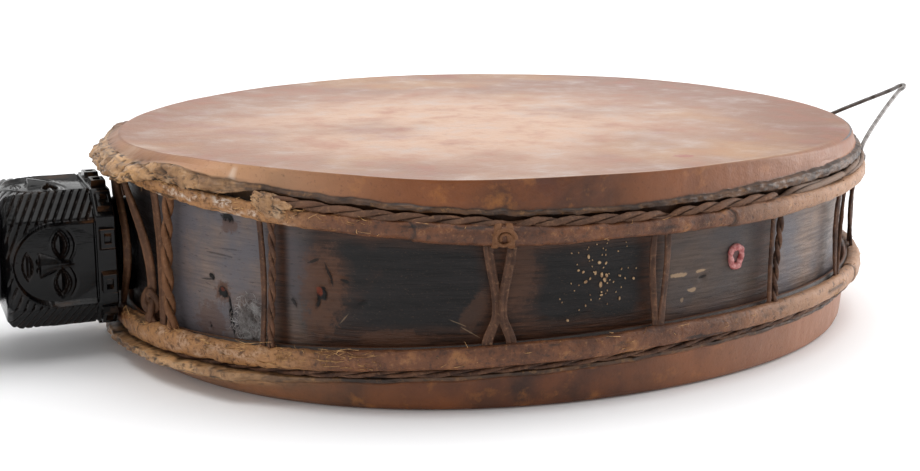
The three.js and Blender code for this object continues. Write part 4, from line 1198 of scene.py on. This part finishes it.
def crown_relief(s, turn):
    """Twelve square blocks round the crown, each with a square pit: two on each face and one
    on each corner."""
    relief, cut = 0 * s, 0 * s
    middle = (CROWN_START + CROWN_END) / 2
    for k in range(8):
        delta = turned_from(turn, k * np.pi / 4)
        distance = FACE_DISTANCE if k % 2 == 0 else CORNER_DISTANCE
        y = distance * np.tan(np.clip(delta, -1.2, 1.2))
        here = np.abs(delta) < (0.62 if k % 2 == 0 else 0.25)
        for across in ((-9.4, 9.4) if k % 2 == 0 else (0.0,)):
            box = np.maximum(np.abs(s - middle) / 3.3, np.abs(y - across) / 4.3)
            pit = np.maximum(np.abs(s - middle) / 1.5, np.abs(y - across) / 1.9)
            block = here * (1 - smooth(box, 0.94, 1.04))
            well = here * (1 - smooth(pit, 0.85, 1.05))
            relief = relief + 3.0 * block - 2.4 * well
            cut = np.maximum(cut, np.maximum(0.8 * well, here * hump(box, 1.05, 0.06)))
    return relief, cut


def handle_points(s, radius, relief, turn):
    """Points on the handle at s along it, a radius and a relief, and a turn round it that
    starts facing -Y and rises towards +Z."""
    r = radius + relief
    return np.stack(np.broadcast_arrays(-s, -r * np.cos(turn), HANDLE_HEIGHT + r * np.sin(turn)), -1)


def stations(s, table):
    """Radius at s from a table of (s, radius), joined by straight lines."""
    return np.interp(s, *np.array(table, float).T)


def carved_head():
    """The handle's head, fine enough for its carving, from the hoop to the neck: a section that
    goes from round to four-faced, with faces, hair at the corners and the crown's blocks on it.
    Gives its points, how deep in a cut each is, and how much it is a rubbed edge."""
    s = np.concatenate([np.linspace(187, 196.2, 12, endpoint=False),
                        np.linspace(196.2, 207, 40, endpoint=False),
                        np.linspace(207, 246, 112, endpoint=False), np.linspace(246, 251, 8)])[:, None]
    turn = angles(500)[None]
    squareness = smooth(s, CROWN_START - 1, CROWN_START + 0.6) * (1 - smooth(s, 245, 246.4))
    base = stations(s, HEAD_STATIONS) * (1 - squareness + squareness * four_faced(turn))
    relief, cut = 0 * s + 0 * turn, 0 * s + 0 * turn
    on_head = (s > CROWN_END) & (s < HEAD_END + 0.5)
    for k in range(4):
        y = FACE_DISTANCE * np.tan(np.clip(turned_from(turn, k * np.pi / 2), -1.2, 1.2))
        mine = on_head * (np.abs(y) < FACE_HALF - 0.2)
        face, marks = face_relief(s + 0 * y, y + 0 * s)
        relief, cut = relief + mine * face, cut + mine * marks
        delta = turned_from(turn, (k + 0.5) * np.pi / 2)
        y = CORNER_DISTANCE * np.tan(np.clip(delta, -1.2, 1.2))
        hair, marks = hair_relief(s + 0 * y, y + 0 * s)
        mine = np.abs(delta) < 0.30
        relief, cut = relief + mine * hair, cut + mine * marks
    blocks, marks = crown_relief(s + 0 * turn, turn + 0 * s)
    relief, cut = relief + blocks, np.maximum(cut, marks)
    uneven = noise(handle_points(s, base, relief, turn), 7, 131, 3)
    edge = np.clip(np.abs(np.gradient(relief, axis=1)) * 0.6, 0, 1) * (relief > -0.6)
    return handle_points(s, base, relief + 0.12 * uneven, turn), np.clip(cut, 0, 1), edge


def turned_grip():
    """The collars, grip and blade beyond the neck: turned rings, petals and flutes round the two
    collars, and veins on the blade, whose section goes from round to three-edged. Gives its
    points, how deep in a cut each is, and how much it is a rubbed edge."""
    s = np.concatenate([np.linspace(247, 345, 190, endpoint=False),
                        np.linspace(345, HANDLE_END, 110)])[:, None]
    turn = angles(132)[None]
    blade = smooth(s, 344.5, 347)
    radius = stations(s, GRIP_STATIONS) * ((1 - blade) + blade * three_edged(turn))
    petals = 1.1 * np.abs(np.cos(6 * turn)) * hump(s, 258.5, 3.2)
    flutes = 0.9 * np.abs(np.cos(8 * turn)) * hump(s, 326.5, 5.5)
    rings = sum(hump(s, at, 0.7) for at in (271.5, 273.8, 310.2, 312.5))
    rings = rings - 0.6 * sum(hump(s, at, 0.45) for at in (272.6, 311.3))
    slanted = (s + 9 * np.abs(np.sin(1.5 * turn))) / 9.0
    veins = 0.6 * blade * np.abs(np.sin(np.pi * slanted)) ** 4
    veins = veins * smooth(s, 350, 354) * (1 - smooth(s, 372, 380))
    relief = petals + flutes + 0.8 * rings - veins
    uneven = noise(handle_points(s, radius, relief, turn), 8, 137, 3)
    between = 0.6 * (1.1 - petals) * hump(s, 258.5, 3.2) * 0.5
    cut = np.clip(hump(s, 267, 1.6) + hump(s, 338.5, 1.8) + 1.6 * veins + between, 0, 1)
    edge = 0.3 * blade * hump(three_edged(turn), 1, 0.12)
    return handle_points(s, radius, relief + 0.12 * uneven, turn), cut + 0 * turn, edge + 0 * s


def carved_handle():
    """Two closed surfaces in one mesh: the head, and the grip with its blade."""
    points, cuts, edges = zip(carved_head(), turned_grip())
    handle = joined_tubes("carved_handle", points, {"cut": cuts, "edge": edges})
    handle.data.set_sharp_from_angle(angle=math.radians(38))
    return dress(handle, "handle", black_hardwood())


def pale_specks():
    """Flecks of pale paste spattered on the wood: low domes of a few sizes, denser towards the
    middle of the splash."""
    draw = np.random.default_rng(7)
    tubes = []
    for k in range(74):
        beside, z = draw.normal(0, 10.5), SPECKS_AT[1] + draw.normal(0, 9.5)
        size = 0.28 + 0.75 * draw.random() ** 4
        if abs(beside) > 21 or not 28 < z < 69:
            continue
        u = np.linspace(0.08, 1, 5)[::-1, None] * size
        w = angles(10)[None]
        wobble = 1 + 0.2 * np.sin(2 * w + k)
        beside = beside + u * wobble * np.cos(w)
        z = z + u * wobble * 1.25 * np.sin(w)
        lift = 0.45 * size * np.sqrt(np.clip(1 - (u / size) ** 2, 0, 1)) - 0.1
        tubes.append(on_wood(SPECKS_AT[0], beside, z, 0.4 + lift))
    specks = joined_tubes("pale_specks", tubes)
    f = Finish("dry_paste", roughness=0.8, specular=0.2)
    f.colour(f.mottled(f.noise(600, 3), 0.35, 0.65, rgb(188, 158, 122), rgb(128, 98, 72)))
    f.bump(f.noise(2500, 3), 0.0002, 0.6)
    return dress(specks, None, f.material)


def wax_mark():
    """A dab of red wax: a crumpled bead laid in an open ring round a hollow, its radius swelling
    by noise, over a thin smear on the wood."""
    w = np.linspace(-0.35, 0.82, 70) * TURN
    degrees, height = WAX_AT
    centre = math.radians(degrees)
    a = centre + (3.4 + 0.5 * np.sin(3 * w)) * np.cos(w) / RADIUS
    z = height + (4.7 + 0.5 * np.cos(2 * w)) * np.sin(w)
    size = 1.35 + 0.55 * noise(polar(a, RADIUS, z), 4, 151, 2)
    path = polar(a, hoop_outside(a, z) + 0.9, z)
    profile = size[:, None, None] * (round_profile(14) * (1.15, 0.95))[None]
    bead = sweep(path, polar(a, 1.0, 0), profile)
    bead = bead + 0.5 * noise(bead, 1.6, 153, 3)[..., None] * polar(a, 1.0, 0)[:, None]
    u = np.linspace(0.02, 1, 16)[::-1, None]
    v = angles(48)[None]
    beside, above = 4.6 * u * np.cos(v), 6.0 * u * np.sin(v)
    lift = 0.45 * np.clip(1 - u ** 4, 0, 1) + 0.15 * noise(polar(v, 9 * u, 0), 2.5, 154, 2) * (u < 0.98)
    smear = on_wood(degrees, beside, height + above, 0.25 + lift)
    wax = joined_tubes("wax_mark", [bead, smear], {"ring": [1 + 0 * bead[..., 0], 0 * smear[..., 0]]})
    f = Finish("red_wax", roughness=0.4, specular=0.4)
    red = f.mottled(f.noise(420, 4, 0.6), 0.38, 0.62, rgb(140, 54, 54), rgb(196, 134, 130))
    f.colour(f.mix(f.value("ring"), rgb(82, 56, 54), red))
    f.bump(f.noise(900, 3), 0.0003, 0.5)
    return dress(wax, None, f.material)


def web_tuft():
    """An old cobweb in the corner beside a lace: a thin, uneven felt on the wood, and fine
    threads wandering over it and a little way past it."""
    degrees, height = WEB_AT
    u = np.linspace(0.03, 1, 30)[::-1, None]
    w = angles(96)[None]
    place = np.stack(np.broadcast_arrays(10 * u * np.cos(w), 10 * u * np.sin(w), 0 * u), -1)
    uneven = noise(place, 4, 161, 3)
    beside = (6.6 + 1.8 * uneven) * u * np.cos(w) + 0.5
    z = height + (9.4 + 2.0 * uneven) * u * np.sin(w)
    lift = (0.7 + 1.3 * uneven) * np.clip(1 - u ** 2, 0, 1) + 0.1
    tubes = [on_wood(degrees, beside, z, 0.2 + np.maximum(lift, 0.05) * (u < 1))]
    draw = np.random.default_rng(11)
    s = np.linspace(0, 1, 14)
    for _ in range(330):
        start = draw.normal(0.3, 3.4), draw.normal(height, 5.0)
        turn, bend, length = draw.uniform(0, TURN), draw.normal(0, 2.6), draw.uniform(3, 9)
        heading = turn + bend * s
        step = length / len(s)
        beside = np.clip(start[0] + np.cumsum(np.cos(heading)) * step, -9, 8)
        z = np.clip(start[1] + np.cumsum(np.sin(heading)) * step, 22.5, 50)
        a = math.radians(degrees) + beside / RADIUS
        off = 0.8 + 1.6 * draw.random() * np.sin(np.pi * s) + 0.5 * draw.random()
        path = polar(a, hoop_outside(a, z) + off, z)
        thick = 0.06 + 0.07 * draw.random()
        tubes.append(sweep(path, polar(a, 1.0, 0), thick * round_profile(3)))
    tuft = joined_tubes("web_tuft", tubes)
    f = Finish("cobweb", roughness=0.9, specular=0.1)
    f.colour(f.mottled(f.noise(300, 5), 0.35, 0.65, rgb(186, 182, 180), rgb(104, 94, 90)))
    f.bump(f.noise(1800, 4), 0.0008, 0.9)
    return dress(tuft, None, f.material)


def crumpled_end():
    """The end of the bunched hem, squeezed round the cane: a ball swollen and pitted by noise."""
    rows, around = 50, 72
    v = np.linspace(0.03, np.pi - 0.03, rows)[:, None]
    w = angles(around)[None]
    ball = np.stack(np.broadcast_arrays(np.cos(v), np.sin(v) * np.cos(w), np.sin(v) * np.sin(w)), -1)
    crumple = np.abs(noise(ball * 9, 5, 171, 4))
    fine = noise(ball * 9, 1.4, 172, 2)
    size = 1 + 0.7 * crumple - 0.2 + 0.1 * fine
    along, out, up = ball[..., 0] * 8.5 * size, ball[..., 1] * 3.8 * size, ball[..., 2] * 5.0 * size
    a = math.radians(HEM_END_AT) + along / RADIUS
    surface = polar(a, rim(a) + 4.4 + out, upper_cane(a) + 3.4 + up - 0.2 * along)
    values = {key: [1 + 0 * crumple] for key in ("hem", "bunch", "skirt")}
    # painted shade in the crumples of the hem's end
    values["crease"] = [1 - smooth(crumple, 0.01, 0.09)]
    knot = joined_tubes("crumpled_hem_end", [surface], values)
    return dress(knot, None, goatskin("goatskin_knot"))


def thong_knot():
    """The thong at the worn crossing lace: two turns over the cane and a curl laid flat on it,
    a spiral whose radius shrinks as it turns."""
    finish = dry_rawhide("rawhide_thong", 0.3)
    middle = math.radians(THONG_AT)
    tubes = []
    w = np.linspace(-2.2, 2.2, 40)
    for shift, lean in ((-2.6, 1.1), (2.9, -0.8)):
        a = middle + (shift + lean * w / 2.2) / RADIUS
        path = polar(a, rim(a) + 3.2 + 3.7 * np.cos(w), upper_cane(a) + 4.5 * np.sin(w))
        outward = polar(a, np.cos(w), 0) + np.stack([0 * w, 0 * w, np.sin(w)], -1)
        tubes.append(sweep(path, outward, oval_profile(3.0, 1.2, 12)))
    turn = np.linspace(0, 1.6 * TURN, 90)
    spiral = 4.4 - 3.0 * turn / turn[-1]
    a = middle + (0.6 + spiral * np.cos(turn)) / RADIUS
    height = upper_cane(a) - 0.3 + 0.9 * spiral * np.sin(turn)
    path = polar(a, rim(a) + 7.1 + 0.5 * np.sin(turn * 0.7), height)
    tubes.append(sweep(path, polar(a, 1.0, 0), oval_profile(1.5, 2.0, 12)))
    knot = joined_tubes("thong_knot", tubes)
    return dress(knot, None, finish)


def loose_fibres():
    """Fibres frayed from the canes and the hem: short bent hairs standing off them."""
    draw = np.random.default_rng(23)
    s = np.linspace(0, 1, 7)
    tubes = []
    for k in range(420):
        low = k % 3 != 0
        degrees = draw.uniform(188, 232) if k % 5 else draw.uniform(190, 345)
        a0 = math.radians(degrees)
        tall = LOWER_CANE if low else UPPER_CANE
        height = (lower_cane if low else upper_cane)(a0) + tall * draw.uniform(-0.35, 0.62)
        length, lean, rise = draw.uniform(2, 5.5), draw.normal(0, 1.2), draw.normal(0.3, 0.8)
        a = a0 + lean * length * s ** 1.3 / RADIUS
        off = 5.6 + draw.uniform(0.2, 1.1) * np.sin(np.pi * np.minimum(s * 1.2, 1))
        path = polar(a, rim(a) + off, height + rise * length * 0.4 * s + draw.normal(0, 0.5) * s ** 2)
        thick = draw.uniform(0.09, 0.2) * (1 - 0.6 * s)[:, None, None]
        tubes.append(sweep(path, polar(a, 1.0, 0), thick * round_profile(4)[None]))
    fibres = joined_tubes("loose_fibres", tubes)
    f = Finish("dry_fibre", roughness=0.7, specular=0.25)
    f.colour(f.mottled(f.noise(300, 3), 0.4, 0.6, rgb(120, 82, 48), rgb(196, 154, 104)))
    return dress(fibres, None, f.material)


# ================================================================ floor and light
def studio():
    """A plain pale floor and a room that is white behind, beside and over the drum and dark in
    front of it: the world's brightness falls with how far a direction points to the front.
    A soft sun overhead, a soft light behind for the head's sheen, and one on either side."""
    bpy.ops.mesh.primitive_plane_add(size=80)
    floor = bpy.context.object
    floor.name = "floor"
    f = Finish("pale_floor", roughness=0.9, specular=0.1)
    f.colour(rgb(250, 250, 251))
    floor.data.materials.append(f.material)
    world = bpy.data.worlds.new("studio")
    bpy.context.scene.world = world
    world.use_nodes = True
    nodes, links = world.node_tree.nodes, world.node_tree.links
    facing = nodes.new("ShaderNodeVectorMath")
    facing.operation = "DOT_PRODUCT"
    links.new(nodes.new("ShaderNodeTexCoord").outputs["Generated"], facing.inputs[0])
    facing.inputs[1].default_value = ROOM_FRONT
    fall = nodes.new("ShaderNodeMapRange")
    fall.interpolation_type = "SMOOTHSTEP"
    links.new(facing.outputs["Value"], fall.inputs["Value"])
    for key, number in (("From Min", -0.15), ("From Max", 0.75), ("To Min", 1.0), ("To Max", 0.42)):
        fall.inputs[key].default_value = number
    links.new(fall.outputs[0], nodes["Background"].inputs["Strength"])
    nodes["Background"].inputs["Color"].default_value = (1.0, 1.0, 1.0, 1.0)
    lights = (("overhead", "SUN", (0.05, 0.05, 1.0), 1.7), ("back", "AREA", (0.75, 1.7, 0.55), 3.0),
              ("side", "AREA", (1.6, -0.35, 0.45), 15.0), ("left", "AREA", (-1.5, -0.9, 0.5), 5.0))
    for name, kind, place, power in lights:
        data = bpy.data.lights.new(name, kind)
        data.energy = power
        if kind == "SUN":
            data.angle = math.radians(60)
        else:
            data.size = 1.1
        light = bpy.data.objects.new(name, data)
        light.location = place
        light.rotation_euler = (Vector((0, 0, 0.05)) - Vector(place)).to_track_quat("-Z", "Y").to_euler()
        bpy.context.scene.collection.objects.link(light)
    bpy.context.scene.view_settings.view_transform = "Standard"


# ================================================================ making it
make_camera()
wooden_hoop()
upper_skin()
lower_skin()
cane_hoop("upper_cane_hoop", "ring_upper", upper_cane, UPPER_CANE, UPPER_SPLICES, 201, 0.8, 1.0, 206)
cane_hoop("lower_cane_hoop", "ring_lower", lower_cane, LOWER_CANE, LOWER_SPLICES, 221, 0.6, 0.25, 207)
upper_cord()
lower_cord()
rawhide_laces()
lashing_straps()
carved_handle()
hanging_wire()
crumpled_end()
thong_knot()
web_tuft()
wax_mark()
pale_specks()
loose_fibres()
studio()
